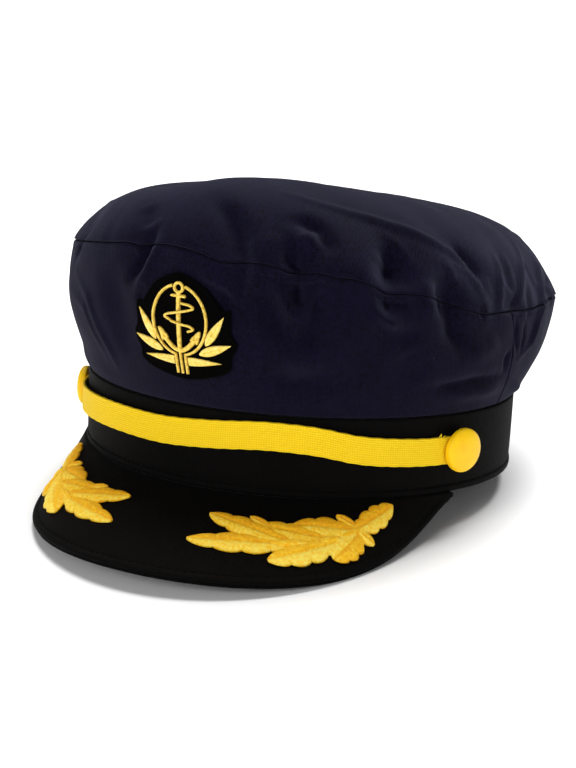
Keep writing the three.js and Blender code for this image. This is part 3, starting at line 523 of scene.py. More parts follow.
def plain_crown(angle, way):
    """Crown surface without its folds"""
    angle, way = np.broadcast_arrays(np.asarray(angle, float), np.asarray(way, float))
    turn = np.radians(angle)
    front, left = np.cos(turn), np.sin(turn)
    seam_height = (SEAM_HEIGHT + SEAM_FRONT_RISE * front + SEAM_SIDE_DROP * np.cos(2 * turn)
                   - SEAM_LEFT_SAG * left)
    seam = np.stack([SEAM_HALF_WIDTH * left, SEAM_SET_BACK - SEAM_HALF_LENGTH * front, seam_height], axis=-1)
    press = band_press(angle)
    foot = outward(angle) * (BAND_RADIUS - CROWN_INSET - press)[..., None]
    foot[..., 2] = BAND_HEIGHT + GAP
    bulge = SIDE_BULGE + SIDE_BULGE_AT_FRONT * front + SIDE_BULGE_AT_LEFT * left + PRESS_BULGE * press
    climb = np.clip(way, 0, 1)
    side = foot + (seam - foot) * climb[..., None]
    side = side + outward(angle) * (bulge * np.sin(math.pi * climb ** SIDE_BULGE_LEAN))[..., None]
    inner = 1 - np.clip(way - 1, 0, 1) ** TOP_SPREAD
    ends = (PUFF_AT_FRONT - PUFF_AT_BACK) / 2 * front + (PUFF_AT_FRONT + PUFF_AT_BACK) / 2 * front ** 2
    puff = PUFF_HEIGHT + (ends + PUFF_AT_LEFT * left) * inner
    height = (SEAM_HEIGHT + (SEAM_FRONT_RISE * front - SEAM_LEFT_SAG * left) * inner
              + SEAM_SIDE_DROP * np.cos(2 * turn) * inner ** 2
              + puff * np.clip(1 - inner ** PUFF_SHOULDER, 0, 1) ** (1 / PUFF_ROLL))
    top = np.stack([
        SEAM_HALF_WIDTH * left * inner,
        SEAM_SET_BACK - SEAM_HALF_LENGTH * front * inner,
        height,
    ], axis=-1)
    return np.where((way <= 1)[..., None], side, top)


def crown_normal(angle, way):
    """Direction out of the crown, level on its side and at its seam"""
    across = plain_crown(angle + 1, way) - plain_crown(angle - 1, way)
    rise = plain_crown(angle, np.clip(way + 0.02, 0, 1.97)) - plain_crown(angle, np.clip(way - 0.02, 0, 1.93))
    normal = unit(np.cross(across, rise))
    level = np.where(way > 1, 1 - smoothstep(way, 1, SEAM_NORMAL_REACH), 1.0)
    return unit(normal + (outward(angle) - normal) * level[..., None])


# Length of cloth from the crown's foot to each place on the way up, in millimetres
WAYS = np.linspace(0, 2, 801)
CLOTH_LINE = plain_crown(np.full_like(WAYS, 45), WAYS)
CLOTH_LENGTHS = lengths_along(CLOTH_LINE)
SEAM_LENGTH = float(np.interp(1, WAYS, CLOTH_LENGTHS))


def cloth_length(way):
    return np.interp(way, WAYS, CLOTH_LENGTHS)


def way_at(length):
    """Place on the way up at a length of cloth from the crown's foot"""
    return np.interp(length, CLOTH_LENGTHS, WAYS)


def plan_radius(way):
    return np.where(way <= 1, BAND_RADIUS + (SEAM_HALF_WIDTH - BAND_RADIUS) * way,
                    SEAM_HALF_WIDTH * (1 - np.clip(way - 1, 0, 1) ** TOP_SPREAD))


def main_folds(angle, way):
    depth = np.zeros_like(way)
    for row in FOLDS:
        fold = dict(zip(FOLD_COLUMNS, row))
        across = (turned(angle, fold["angle"]) - fold["lean"] * (way - fold["at"])) / fold["wide"]
        along = (way - fold["at"]) / fold["tall"]
        depth += fold["deep"] * np.exp(-across ** 2 - along ** 2)
    return depth * PUFF_HEIGHT * smoothstep(way, 0, 0.2)


def crease(angle, way, wide, deep, edge, line):
    """Depth of one crease, which fades out towards the ends of its line"""
    middle = line[0][0]
    scale = np.radians(1) * np.maximum(plan_radius(way), 10)
    x, y = turned(angle, middle) * scale, cloth_length(way)
    near = np.full_like(way, 1e6)
    signed = np.zeros_like(way)
    share = np.zeros_like(way)
    spans = len(line) - 1
    for i, ((a0, w0), (a1, w1)) in enumerate(zip(line, line[1:])):
        x0, x1 = (a0 - middle) * scale, (a1 - middle) * scale
        y0, y1 = cloth_length(w0), cloth_length(w1)
        dx, dy = x1 - x0, y1 - y0
        t = np.clip(((x - x0) * dx + (y - y0) * dy) / (dx * dx + dy * dy), 0, 1)
        off_x, off_y = x - x0 - t * dx, y - y0 - t * dy
        distance = np.hypot(off_x, off_y)
        closer = distance < near
        near = np.where(closer, distance, near)
        signed = np.where(closer, distance * np.sign(off_x * dy - off_y * dx), signed)
        share = np.where(closer, (i + t) / spans, share)
    fade = smoothstep(share, -0.15, 0.35) * smoothstep(1 - share, -0.15, 0.35)
    return (deep + edge * signed / wide) * np.exp(-(near / wide) ** 2) * fade


def soft_waves(points, seed, length, count=10):
    """Smooth irregular swell between about -1 and 1, with waves of a length in millimetres"""
    draw = np.random.default_rng(seed)
    swell = np.zeros(points.shape[:-1])
    for _ in range(count):
        direction = unit(draw.normal(size=3))
        size = length * draw.uniform(0.7, 1.5)
        swell += np.sin(points @ direction * (2 * math.pi / size) + draw.uniform(0, 2 * math.pi))
    return swell / math.sqrt(count)


def gathers(angle, way):
    """Small upright ripples where the cloth is gathered into the top's seam"""
    draw = np.random.default_rng(GATHER_SEED)
    ripple = np.zeros_like(way)
    for _ in range(GATHER_RIPPLES):
        waves = draw.integers(*GATHER_WAVES)
        ripple += np.sin(np.radians(angle) * waves + draw.uniform(0, 2 * math.pi))
    strength = np.interp(turned(angle, 0), GATHER_ANGLES, GATHER_STRENGTHS)
    off = cloth_length(way) - SEAM_LENGTH
    above = np.exp(-np.abs(off) / GATHER_REACH_ABOVE)
    below = 0.6 * np.exp(-np.abs(off) / GATHER_REACH_BELOW)
    reach = np.where(off > 0, above, below)
    return ripple / math.sqrt(GATHER_RIPPLES) * strength * reach


def cloth_relief(angle, way, folds):
    """How far the crown's cloth stands off the plain crown"""
    points = plain_crown(angle, way)
    relief = sum(crease(angle, way, *row) for row in CREASES)
    relief = relief + gathers(angle, way)
    for seed, length, depth in SWELLS:
        relief = relief + depth * soft_waves(points, seed, length)
    off = cloth_length(way) - SEAM_LENGTH
    dimples = STITCH_DIMPLE * (np.exp(-((off - STITCHES_ABOVE_SEAM) / STITCH_DIMPLE_WIDE) ** 2)
                               + np.exp(-((off + STITCHES_BELOW_SEAM) / STITCH_DIMPLE_WIDE) ** 2))
    fade = smoothstep(way, 0, 0.12) * smoothstep(2 - way, 0, 0.15)
    return (main_folds(angle, way) + relief * folds - dimples) * fade


def rolled_in(distance, radius):
    """How far a cloth's edge turns inwards at a distance from its seam"""
    short = np.clip(radius - distance, 0, radius)
    return radius - np.sqrt(np.maximum(radius ** 2 - short ** 2, 0))


def smooth_row(angle, angles, values):
    """Smooth curve through a row of values at rising angles"""
    angles, values = np.asarray(angles, float), np.asarray(values, float)
    slopes = np.gradient(values, angles)
    i = np.clip(np.searchsorted(angles, angle, side="right") - 1, 0, len(angles) - 2)
    span = angles[i + 1] - angles[i]
    t = (angle - angles[i]) / span
    return ((1 + 2 * t) * (1 - t) ** 2 * values[i] + t * (1 - t) ** 2 * span * slopes[i]
            + t * t * (3 - 2 * t) * values[i + 1] + t * t * (t - 1) * span * slopes[i + 1])


def crown_point(angle, way, lift=0.0, folds=1.0):
    angle, way = np.broadcast_arrays(np.asarray(angle, float), np.asarray(way, float))
    stand = cloth_relief(angle, way, folds) + lift
    points = plain_crown(angle, way) + crown_normal(angle, way) * stand[..., None]
    off = (cloth_length(way) - SEAM_LENGTH) / SEAM_WANDER_REACH
    points[..., 2] += folds * smooth_row(turned(angle, 0), SEAM_ANGLES, SEAM_RISES) * np.exp(-off ** 2)
    return points


def start_mesh():
    mesh = bmesh.new()
    mesh.loops.layers.uv.new("UVMap")
    mesh.verts.layers.float.new("tone")
    return mesh


def add_sheet(mesh, columns, rows, place, flat, tone=None, ends=False):
    """Lays a grid out in space. place gives the points and flat the cloth's own coordinates, from two shares.

    With ends, the first and last columns close to a point, so that a tube is shut.
    """
    made = bmesh.ops.create_grid(mesh, x_segments=columns, y_segments=rows, size=1)
    verts = made["verts"]
    shares = np.array([v.co[:2] for v in verts])
    low, high = shares.min(axis=0), shares.max(axis=0)
    shares = (shares - low) / (high - low)
    u, v = shares[:, 0], shares[:, 1]
    points = place(u, v)
    if ends:
        column = step_at(u, columns)
        for end, beside in ((0, 1), (columns, columns - 1)):
            points[column == end] = points[(column == beside) & (v < 1 - 0.5 / rows)].mean(axis=0)
    laid = flat(u, v)
    tones = np.zeros(len(verts)) if tone is None else tone(u, v)
    uv_layer = mesh.loops.layers.uv.active
    tone_layer = mesh.verts.layers.float["tone"]
    laid_at = {}
    for vert, point, own, value in zip(verts, points, laid, tones):
        vert.co = point
        vert[tone_layer] = value
        laid_at[vert] = own
    for face in {face for vert in verts for face in vert.link_faces}:
        for loop in face.loops:
            loop[uv_layer].uv = laid_at[loop.vert]


def add_tube(mesh, path, ups, radii, sides=6, flatten=1.0):
    """Closed tube along a short path, with a direction that points up from the cloth at each point"""
    path = np.asarray(path, float)
    along = unit(np.gradient(path, axis=0))
    ups = unit(np.broadcast_to(ups, path.shape))
    across = unit(np.cross(along, ups))
    ups = np.cross(across, along)
    radii = np.broadcast_to(radii, len(path))
    lengths = lengths_along(path)
    count = len(path) - 1

    def place(u, v):
        i = step_at(u, count)
        turn = 2 * math.pi * (v % 1)
        offset = across[i] * np.cos(turn)[:, None] + ups[i] * (flatten * np.sin(turn))[:, None]
        return path[i] + offset * radii[i][:, None]

    def flat(u, v):
        i = step_at(u, count)
        return np.stack([lengths[i], v * 2 * math.pi * radii[i]], axis=-1) * MM

    add_sheet(mesh, count, sides, place, flat, ends=True)


def add_turned(mesh, section, closed, steps):
    """Turns a section once round the upright axis"""
    verts = [mesh.verts.new(place) for place in section]
    after = verts[1:] + (verts[:1] if closed else [])
    edges = [mesh.edges.new(pair) for pair in zip(verts, after)]
    bmesh.ops.spin(
        mesh,
        geom=verts + edges,
        cent=(0, 0, 0),
        axis=(0, 0, 1),
        angle=2 * math.pi,
        steps=steps,
        use_merge=True,
    )


def link_piece(mesh, name, material, nodes=()):
    """Closes a mesh's joins, places it in the frame and makes it a piece of the hat"""
    bmesh.ops.remove_doubles(mesh, verts=mesh.verts, dist=JOIN_DISTANCE)
    bmesh.ops.recalc_face_normals(mesh, faces=mesh.faces)
    bmesh.ops.transform(mesh, matrix=HAT, verts=mesh.verts)
    data = bpy.data.meshes.new(name)
    mesh.to_mesh(data)
    mesh.free()
    data.shade_smooth()
    data.materials.append(material)
    piece = bpy.data.objects.new(name, data)
    bpy.context.scene.collection.objects.link(piece)
    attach(piece, "root")
    if nodes:
        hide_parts(*nodes)
    return piece


def thicken(piece, thickness):
    wall = piece.modifiers.new("Cloth", "SOLIDIFY")
    wall.thickness = thickness
    wall.offset = -1
    wall.use_rim = True


# Materials

WAVE_PERIOD = 0.31416
DIAGONAL_PERIOD = 0.44429


def add_node(tree, kind, inputs=None, **settings):
    made = tree.nodes.new(kind)
    for key, value in settings.items():
        setattr(made, key, value)
    for key, value in (inputs or {}).items():
        if isinstance(value, bpy.types.NodeSocket):
            tree.links.new(value, made.inputs[key])
        else:
            made.inputs[key].default_value = value
    return made


def start_material(name, constants):
    """Material whose constants are set on the shader's own sockets"""
    material = bpy.data.materials.new(name)
    material.use_nodes = True
    tree = material.node_tree
    surface = tree.nodes["Principled BSDF"]
    for key, value in constants.items():
        surface.inputs[key].default_value = value
    return material, tree, surface


def own_coordinates(tree):
    return add_node(tree, "ShaderNodeUVMap", uv_map="UVMap").outputs["UV"]


def object_coordinates(tree):
    return add_node(tree, "ShaderNodeTexCoord").outputs["Object"]


def waves(tree, vector, pitch, direction="X", distortion=0.0):
    period = DIAGONAL_PERIOD if direction == "DIAGONAL" else WAVE_PERIOD
    made = add_node(tree, "ShaderNodeTexWave", {
        "Vector": vector,
        "Scale": period / pitch,
        "Distortion": distortion,
        "Detail": 1.0,
        "Detail Scale": 1.5,
    }, wave_type="BANDS", bands_direction=direction)
    return made.outputs["Fac"]


def noise(tree, vector, size, detail=3.0, roughness=0.55):
    made = add_node(tree, "ShaderNodeTexNoise", {
        "Vector": vector,
        "Scale": 1 / size,
        "Detail": detail,
        "Roughness": roughness,
    })
    return made.outputs["Fac"]


def ranged(tree, value, low, high, from_low=0.0, from_high=1.0):
    made = add_node(tree, "ShaderNodeMapRange", {
        "Value": value,
        "From Min": from_low,
        "From Max": from_high,
        "To Min": low,
        "To Max": high,
    })
    return made.outputs["Result"]


def calculated(tree, operation, first, second):
    return add_node(tree, "ShaderNodeMath", {0: first, 1: second}, operation=operation).outputs[0]


def mixed(tree, factor, first, second):
    made = add_node(tree, "ShaderNodeMix", {0: factor, 6: first, 7: second}, data_type="RGBA")
    return made.outputs[2]


def colour(value, gain=1.0):
    return tuple(min(1.0, c * gain) for c in value) + (1.0,)


def bumped(tree, surface, height, strength, distance):
    made = add_node(tree, "ShaderNodeBump", {
        "Height": height,
        "Strength": strength,
        "Distance": distance,
    })
    tree.links.new(made.outputs["Normal"], surface.inputs["Normal"])


def coated(tree, surface, shade, roughness):
    tree.links.new(shade, surface.inputs["Base Color"])
    tree.links.new(roughness, surface.inputs["Roughness"])


def stretched(tree, vector, along, across):
    """Coordinates that draw a pattern out along the cloth's own height"""
    made = add_node(tree, "ShaderNodeMapping", {"Vector": vector, "Scale": (along, across, 1.0)})
    return made.outputs["Vector"]


def navy_twill(navy):
    material, tree, surface = start_material("navy_twill", {
        "Sheen Weight": 0.082,
        "Sheen Roughness": 0.46,
        "Sheen Tint": (0.56, 0.57, 0.85, 1.0),
        "Specular IOR Level": 0.04,
    })
    own, place = own_coordinates(tree), object_coordinates(tree)
    twill = waves(tree, own, 0.00055, "DIAGONAL", 0.6)
    streaks = noise(tree, stretched(tree, own, 1.0, 0.07), 0.0009, 3.0, 0.65)
    fibres = noise(tree, place, 0.0011, 4.0, 0.7)
    lint = noise(tree, stretched(tree, own, 1.0, 0.35), 0.0012, 3.0, 0.6)
    patches = noise(tree, place, 0.03, 4.0, 0.6)
    grain = ranged(tree, fibres, 0.2, 1.7, 0.35, 0.65)
    grain = calculated(tree, "MULTIPLY", ranged(tree, twill, 0.5, 1.0), grain)
    grain = calculated(tree, "MULTIPLY", grain, ranged(tree, streaks, 0.7, 1.3, 0.3, 0.7))
    tone = calculated(tree, "MULTIPLY", grain, ranged(tree, patches, 0.7, 1.3, 0.3, 0.7))
    cloth = mixed(tree, tone, colour(navy, 0.1), colour(navy, 2.4))
    specks = ranged(tree, lint, 0.0, 0.08, 0.7, 0.8)
    shade = mixed(tree, specks, cloth, colour((0.5, 0.5, 0.55)))
    coated(tree, surface, shade, ranged(tree, fibres, 0.7, 0.95))
    height = calculated(tree, "ADD", ranged(tree, twill, 0.0, 0.6), ranged(tree, fibres, 0.0, 0.8))
    height = calculated(tree, "ADD", height, ranged(tree, streaks, 0.0, 1.0))
    bumped(tree, surface, height, 0.85, 0.0002)
    return material


def black_rib(black):
    material, tree, surface = start_material("black_rib", {
        "Sheen Weight": 0.02,
        "Sheen Roughness": 0.35,
        "Specular IOR Level": 0.04,
    })
    own, place = own_coordinates(tree), object_coordinates(tree)
    ribs = waves(tree, own, 0.0008, "X", 0.25)
    cross = waves(tree, own, 0.00045, "Y", 0.5)
    dust = noise(tree, place, 0.0015, 4.0, 0.7)
    patches = noise(tree, place, 0.03)
    tone = ranged(tree, patches, 0.5, 1.4, 0.3, 0.7)
    tone = calculated(tree, "MULTIPLY", ranged(tree, ribs, 0.35, 1.0), tone)
    tone = calculated(tree, "ADD", tone, ranged(tree, dust, 0.0, 0.3, 0.7, 0.82))
    shade = mixed(tree, tone, colour(black, 0.6), colour(black, 1.9))
    coated(tree, surface, shade, ranged(tree, dust, 0.62, 0.88))
    height = calculated(tree, "ADD", ranged(tree, ribs, 0.0, 0.8), ranged(tree, cross, 0.0, 0.2))
    bumped(tree, surface, height, 0.45, 0.00018)
    return material


def yellow_webbing(yellow):
    material, tree, surface = start_material("yellow_webbing", {
        "Sheen Weight": 0.02,
        "Specular IOR Level": 0.12,
    })
    own, place = own_coordinates(tree), object_coordinates(tree)
    picks = waves(tree, own, 0.0009, "X", 0.15)
    # The tone attribute holds painted shade, 1 in the grooves between the strap's ribs
    groove = add_node(tree, "ShaderNodeAttribute", attribute_name="tone").outputs["Fac"]
    fibres = noise(tree, place, 0.0012, 3.0, 0.6)
    weave_and_groove_shade = calculated(tree, "MULTIPLY", ranged(tree, picks, 0.72, 1.0), ranged(tree, groove, 1.0, 0.55))
    tone = calculated(tree, "MULTIPLY", weave_and_groove_shade, ranged(tree, fibres, 0.86, 1.08))
    # Darker yellow for the woven picks and for the painted shade in the grooves
    dark_weave_and_groove_shade = (yellow[0] * 0.72, yellow[1] * 0.55, yellow[2] * 0.35, 1.0)
    coated(tree, surface, mixed(tree, tone, dark_weave_and_groove_shade, colour(yellow)), ranged(tree, fibres, 0.6, 0.8))
    height = calculated(tree, "ADD", ranged(tree, picks, 0.0, 0.7), ranged(tree, fibres, 0.0, 0.3))
    bumped(tree, surface, height, 0.4, 0.00014)
    return material


def yellow_plastic(yellow):
    material, tree, surface = start_material("yellow_plastic", {
        "Specular IOR Level": 0.25,
        "Coat Weight": 0.03,
        "Coat Roughness": 0.4,
    })
    place = object_coordinates(tree)
    cloudy = noise(tree, place, 0.006, 3.0, 0.5)
    grain = noise(tree, place, 0.0007, 2.0, 0.5)
    warm = (yellow[0], yellow[1] * 0.86, yellow[2] * 0.6, 1.0)
    shade = mixed(tree, ranged(tree, cloudy, 0.0, 1.0, 0.3, 0.7), warm, colour(yellow))
    coated(tree, surface, shade, ranged(tree, cloudy, 0.42, 0.56))
    bumped(tree, surface, grain, 0.12, 0.00006)
    return material


def black_felt(black):
    material, tree, surface = start_material("black_felt", {
        "Sheen Weight": 0.006,
        "Specular IOR Level": 0.02,
    })
    place = object_coordinates(tree)
    nap = noise(tree, place, 0.0006, 5.0, 0.75)
    shade = mixed(tree, nap, colour(black, 0.3), colour(black, 1.4))
    coated(tree, surface, shade, ranged(tree, nap, 0.85, 1.0))
    bumped(tree, surface, nap, 0.6, 0.0002)
    return material


def gold_thread(name, gold, painted_shade, painted_highlight):
    """Satin stitched thread, whose tone goes from 0, turned from the light, to 1, where the thread shines"""
    material, tree, surface = start_material(name, {
        "Sheen Weight": 0.02,
        "Sheen Roughness": 0.3,
        "Specular IOR Level": 0.2,
        "Anisotropic": 0.3,
    })
    own, place = own_coordinates(tree), object_coordinates(tree)
    tone = add_node(tree, "ShaderNodeAttribute", attribute_name="tone").outputs["Fac"]
    threads = waves(tree, own, THREAD_PITCH * MM / 2, "X", 0.4)
    strands = noise(tree, place, 0.0012, 3.0, 0.6)
    lit = calculated(tree, "ADD", tone, ranged(tree, strands, -0.35, 0.35, 0.3, 0.7))
    lit = calculated(tree, "ADD", lit, ranged(tree, threads, -0.12, 0.12))
    low = mixed(tree, ranged(tree, lit, 0.0, 1.0, 0.0, 0.5), colour(painted_shade), colour(gold))
    high = mixed(tree, ranged(tree, lit, 0.0, 1.0, 0.5, 1.0), low, colour(painted_highlight))
    coated(tree, surface, high, ranged(tree, strands, 0.42, 0.62))
    height = calculated(tree, "ADD", ranged(tree, threads, 0.0, 0.8), ranged(tree, strands, 0.0, 0.5))
    bumped(tree, surface, height, 0.35, 0.00012)
    return material


def studio_floor():
    material, tree, surface = start_material("pale_floor", {"Specular IOR Level": 0.2})
    cloudy = noise(tree, object_coordinates(tree), 0.4, 2.0)
    shade = mixed(tree, cloudy, colour((0.90, 0.90, 0.90)), colour((0.94, 0.94, 0.94)))
    coated(tree, surface, shade, ranged(tree, cloudy, 0.85, 0.95))
    return material


# Crown

def fine_ends(share):
    """Spreads shares so that they lie closer together at both ends"""
    return share - 0.7 * np.sin(2 * math.pi * share) / (2 * math.pi)


def round_top(share):
    """Angle round the crown's top at a share of its columns, which lie closer where folds are small"""
    return -180 + 360 * (share - 0.45 * np.sin(2 * math.pi * (share - 0.08)) / (2 * math.pi))


def make_crown_top(sizes, twill):
    mesh = start_mesh()
    rows = TOP_ROWS + 2

    def way_of(v):
        return 1 + np.clip(v * rows - 2, 0, None) / TOP_ROWS

    def place(u, v):
        angle, way = round_top(u % 1), way_of(v)
        off = cloth_length(way) - SEAM_LENGTH
        inside = rolled_in(off, SEAM_ROLL) + SEAM_ALLOWANCE * (v * rows < 1.5)
        points = crown_point(angle, way, -inside, sizes.folds)
        points[:, 2] += GAP * (1 - smoothstep(off, 0, 3)) - SEAM_ALLOWANCE * (v * rows < 0.5)
        return points

    def flat(u, v):
        from_middle = CLOTH_LENGTHS[-1] - cloth_length(way_of(v))
        return outward(round_top(u))[:, :2] * from_middle[:, None] * MM

    add_sheet(mesh, CROWN_COLUMNS, rows, place, flat)
    piece = link_piece(mesh, "crown_top_cloth", twill, ["crown_top"])
    thicken(piece, sizes.cloth)


def make_crown_side(sizes, twill, name, node, start, end, columns, tucked):
    mesh = start_mesh()
    margin = math.degrees(GAP / 2 / BAND_RADIUS)
    rows = SIDE_ROWS + 2
    over = 2 if tucked else 0
    lean_at_foot = SIDE_SEAM_LEAN if tucked else -SIDE_SEAM_LEAN

    def shares(u, v):
        column = u * (columns + 2 * over) - over
        way = (1 - np.cos(math.pi * np.clip((v * rows - 2) / SIDE_ROWS, 0, 1))) / 2
        return column, np.clip(column / columns, 0, 1), way

    def place(u, v):
        column, share, way = shares(u, v)
        lean = lean_at_foot * (1 - way)
        angle = start - lean + margin + (end - start + 2 * (lean - margin)) * fine_ends(share)
        length = cloth_length(way)
        side = np.radians(np.minimum(angle - start + lean, end - angle + lean)) * plan_radius(way)
        turned_in = np.maximum.reduce([
            rolled_in(SEAM_LENGTH - length, SEAM_ROLL),
            rolled_in(length, SEAM_ROLL),
            rolled_in(side, 0.8 * SEAM_ROLL),
        ])
        beyond = np.maximum(-column, column - columns)
        inside = turned_in + SEAM_ALLOWANCE * np.maximum(beyond > 0.5, v * rows < 1.5)
        tuck = np.sign(column) * ALLOWANCE_TURN * (beyond > 1.5)
        points = crown_point(angle + tuck, way, -inside, sizes.folds)
        points[:, 2] -= SEAM_ALLOWANCE * (v * rows < 0.5)
        return points

    def flat(u, v):
        _, share, way = shares(u, v)
        angle = start + (end - start) * fine_ends(share)
        return np.stack([np.radians(angle) * SEAM_HALF_WIDTH, cloth_length(way)], axis=-1) * MM

    add_sheet(mesh, columns + 2 * over, rows, place, flat)
    piece = link_piece(mesh, name, twill, [node])
    thicken(piece, sizes.cloth)


def add_stitch(mesh, middle, along, up, length):
    """One stitch that arches out of the cloth and dips in at both ends"""
    reach = np.linspace(-0.5, 0.5, 6)
    path = middle + along * (reach * length)[:, None] - up * (4 * STITCH_RADIUS * reach ** 2)[:, None]
    radii = STITCH_RADIUS * np.sqrt(np.clip(1 - (1.8 * reach) ** 4, 0.1, 1))
    add_tube(mesh, path, up, radii, sides=6, flatten=0.8)


def add_crown_stitches(mesh, sizes):
    for off in (STITCHES_ABOVE_SEAM, -STITCHES_BELOW_SEAM):
        way = float(way_at(SEAM_LENGTH + off))
        length = 2 * math.pi * (SEAM_HALF_WIDTH + SEAM_HALF_LENGTH) / 2
        count = round(length / (sizes.stitch_pitch / MM))
        angles = np.arange(count) * 360 / count
        lift = 0.02
        before, middle, after = (crown_point(angles + turn, way, lift, sizes.folds)
                                 for turn in (-0.4, 0, 0.4))
        along = unit(after - before)
        ups = crown_normal(angles, np.full(count, way))
        for point, direction, up in zip(middle, along, ups):
            add_stitch(mesh, point, direction, up, sizes.stitch_length / MM)


class CAPTAINHAT_OT_crown(bpy.types.Operator):
    """Sew the crown's top and its two side walls from navy twill"""

    bl_idname = "captain_hat.crown"
    bl_label = "Crown"

    def execute(self, context):
        sizes, colours = context.scene.captain_hat_sizes, context.scene.captain_hat_colours
        twill = navy_twill(colours.navy)
        make_crown_top(sizes, twill)
        make_crown_side(sizes, twill, "crown_side_front_cloth", "crown_side_front",
                        -SIDE_SEAM_ANGLE, SIDE_SEAM_ANGLE, FRONT_COLUMNS, True)
        make_crown_side(sizes, twill, "crown_side_back_cloth", "crown_side_back",
                        SIDE_SEAM_ANGLE, 360 - SIDE_SEAM_ANGLE, BACK_COLUMNS, False)
        mesh = start_mesh()
        add_crown_stitches(mesh, sizes)
        link_piece(mesh, "crown_stitches", twill)
        return {"FINISHED"}


# Band and peak

def band_profile():
    """Radius and height round the band's section, with a rolled hem at its foot"""
    outer = BAND_RADIUS - HEM_PROUD
    inner = outer - BAND_WALL
    hem_middle = HEM_HEIGHT / 2
    hem = [(outer + HEM_PROUD * math.sin(turn) ** HEM_ROUND, hem_middle - hem_middle * math.cos(turn))
           for turn in np.linspace(0.25, math.pi, 9)]
    low, tall = HEM_HEIGHT + 0.9, BAND_HEIGHT - HEM_HEIGHT - 2.2
    wall = [(outer - 0.25, HEM_HEIGHT + 0.25), (outer, low)]
    wall += [(outer + WALL_BELLY * math.sin(math.pi * share), low + share * tall)
             for share in np.linspace(0.08, 1, 12)]
    rim = [(outer - RIM_IN + RIM_IN * math.cos(turn), BAND_HEIGHT - RIM_DOWN + RIM_DOWN * math.sin(turn))
           for turn in np.linspace(0.2, math.pi / 2, 5)]
    inside = [(inner + 0.5, BAND_HEIGHT), (inner, BAND_HEIGHT - 0.6), (inner, BAND_HEIGHT / 2)]
    foot = [(inner, 0.7), (inner + 0.6, 0)]
    return hem + wall + rim + inside + foot


def wrap_coordinates(mesh, radius):
    """Cloth coordinates of a turned piece: length round it and height, without a jump inside any face"""
    uv_layer = mesh.loops.layers.uv.active
    for face in mesh.faces:
        middle = face.calc_center_median()
        here = math.degrees(math.atan2(middle.x, -middle.y))
        for loop in face.loops:
            point = loop.vert.co
            angle = here + turned(math.degrees(math.atan2(point.x, -point.y)), here)
            height = point.z + math.hypot(point.x, point.y) - radius
            loop[uv_layer].uv = (math.radians(angle) * radius * MM, height * MM)


def make_band(rib):
    mesh = start_mesh()
    add_turned(mesh, [(0, -radius, height) for radius, height in band_profile()], True, BAND_STEPS)
    wrap_coordinates(mesh, BAND_RADIUS)
    for vert in mesh.verts:
        angle = math.degrees(math.atan2(vert.co.x, -vert.co.y))
        vert.co -= Vector(outward(angle)) * float(band_press(angle))
    link_piece(mesh, "band_cloth", rib, ["band"])


def peak_reach(share):
    away = np.minimum(np.abs(share), 1)
    return PEAK_STUB + PEAK_REACH * (1 - away ** PEAK_ROUNDNESS) ** PEAK_TAPER


def peak_point(share, out, depth):
    """Point at a depth under the peak's upper face, at a share round and a share out to the edge"""
    share, out, depth = np.broadcast_arrays(np.asarray(share, float), out, depth)
    drop = np.radians(PEAK_DROP + PEAK_DROP_AT_ENDS * share ** 2)
    reach = peak_reach(share) * out
    radius = BAND_RADIUS + PEAK_FLARE + reach * np.cos(drop) - depth * np.tan(drop / 2)
    point = outward(share * PEAK_HALF_ANGLE) * radius[..., None]
    point[..., 2] = -GAP - reach * np.sin(drop) - depth
    return point


def on_peak(share, out, lift):
    """Point lifted off the peak's upper face"""
    across = peak_point(share + 0.01, out, 0) - peak_point(share - 0.01, out, 0)
    along = peak_point(share, out + 0.01, 0) - peak_point(share, out - 0.01, 0)
    normal = unit(np.cross(across, along))
    normal = np.where(normal[..., 2:] < 0, -normal, normal)
    return peak_point(share, out, 0) + normal * np.asarray(lift)[..., None]


def make_peak_layer(name, node, rib, depth, thickness, set_in, stitched):
    """One layer of the peak: a flange under the band, two faces and a rounded lip"""
    near_edge = (0.0, 0.4, 0.9, 1.4, 1.8, 2.15, 2.5, 3.1, 4.0)
    lip = thickness / 2
    top = [("far", share) for share in np.linspace(1, 0, PEAK_FACE_ROWS)]
    top += [("near", distance) for distance in reversed(near_edge)]
    turns = [("lip", turn) for turn in np.linspace(0, math.pi, 8)[1:-1]]
    upper = [(kind, value, 0) for kind, value in top + turns]
    lower = [(kind, value, 1) for kind, value in reversed(top)]
    section = [("flange", 0)] + upper + lower + [("flange", 1)]
    count = len(section)

    def place(u, v):
        share = np.clip(2 * u - 1, -1, 1)
        reach = peak_reach(share)
        small = np.minimum(1, reach / 9)
        step = step_at(v, count) % count
        points = np.zeros((len(u), 3))
        for i, row in enumerate(section):
            here = step == i
            at, room, scale = share[here], reach[here], small[here]
            if row[0] == "flange":
                points[here] = outward(at * PEAK_HALF_ANGLE) * (BAND_RADIUS - HEM_PROUD - BAND_WALL)
                points[here, 2] = -GAP - depth - row[1] * thickness
                continue
            edge = (set_in + lip) * scale
            if row[0] == "lip":
                back = edge - lip * math.sin(row[1]) * scale
                under = lip - lip * math.cos(row[1])
            else:
                near = edge + near_edge[-1] * scale
                back = edge + row[1] * scale if row[0] == "near" else near + (room - near) * row[1]
                under = row[2] * thickness
            groove = PEAK_GROOVE * scale * np.exp(-((back - PEAK_STITCHES_IN) / PEAK_GROOVE_WIDE) ** 2)
            groove = groove * (stitched and under < lip)
            points[here] = peak_point(at, 1 - back / room, depth + under + groove)
        return points

    lengths = np.linspace(0, 2 * PEAK_REACH, count + 1)

    def flat(u, v):
        share = 2 * u - 1
        round_length = share * math.radians(PEAK_HALF_ANGLE) * (BAND_RADIUS + PEAK_REACH / 2)
        return np.stack([round_length, np.interp(v * count, np.arange(count + 1), lengths)], axis=-1) * MM

    mesh = start_mesh()
    add_sheet(mesh, PEAK_COLUMNS, count, place, flat, ends=True)
    link_piece(mesh, name, rib, [node])


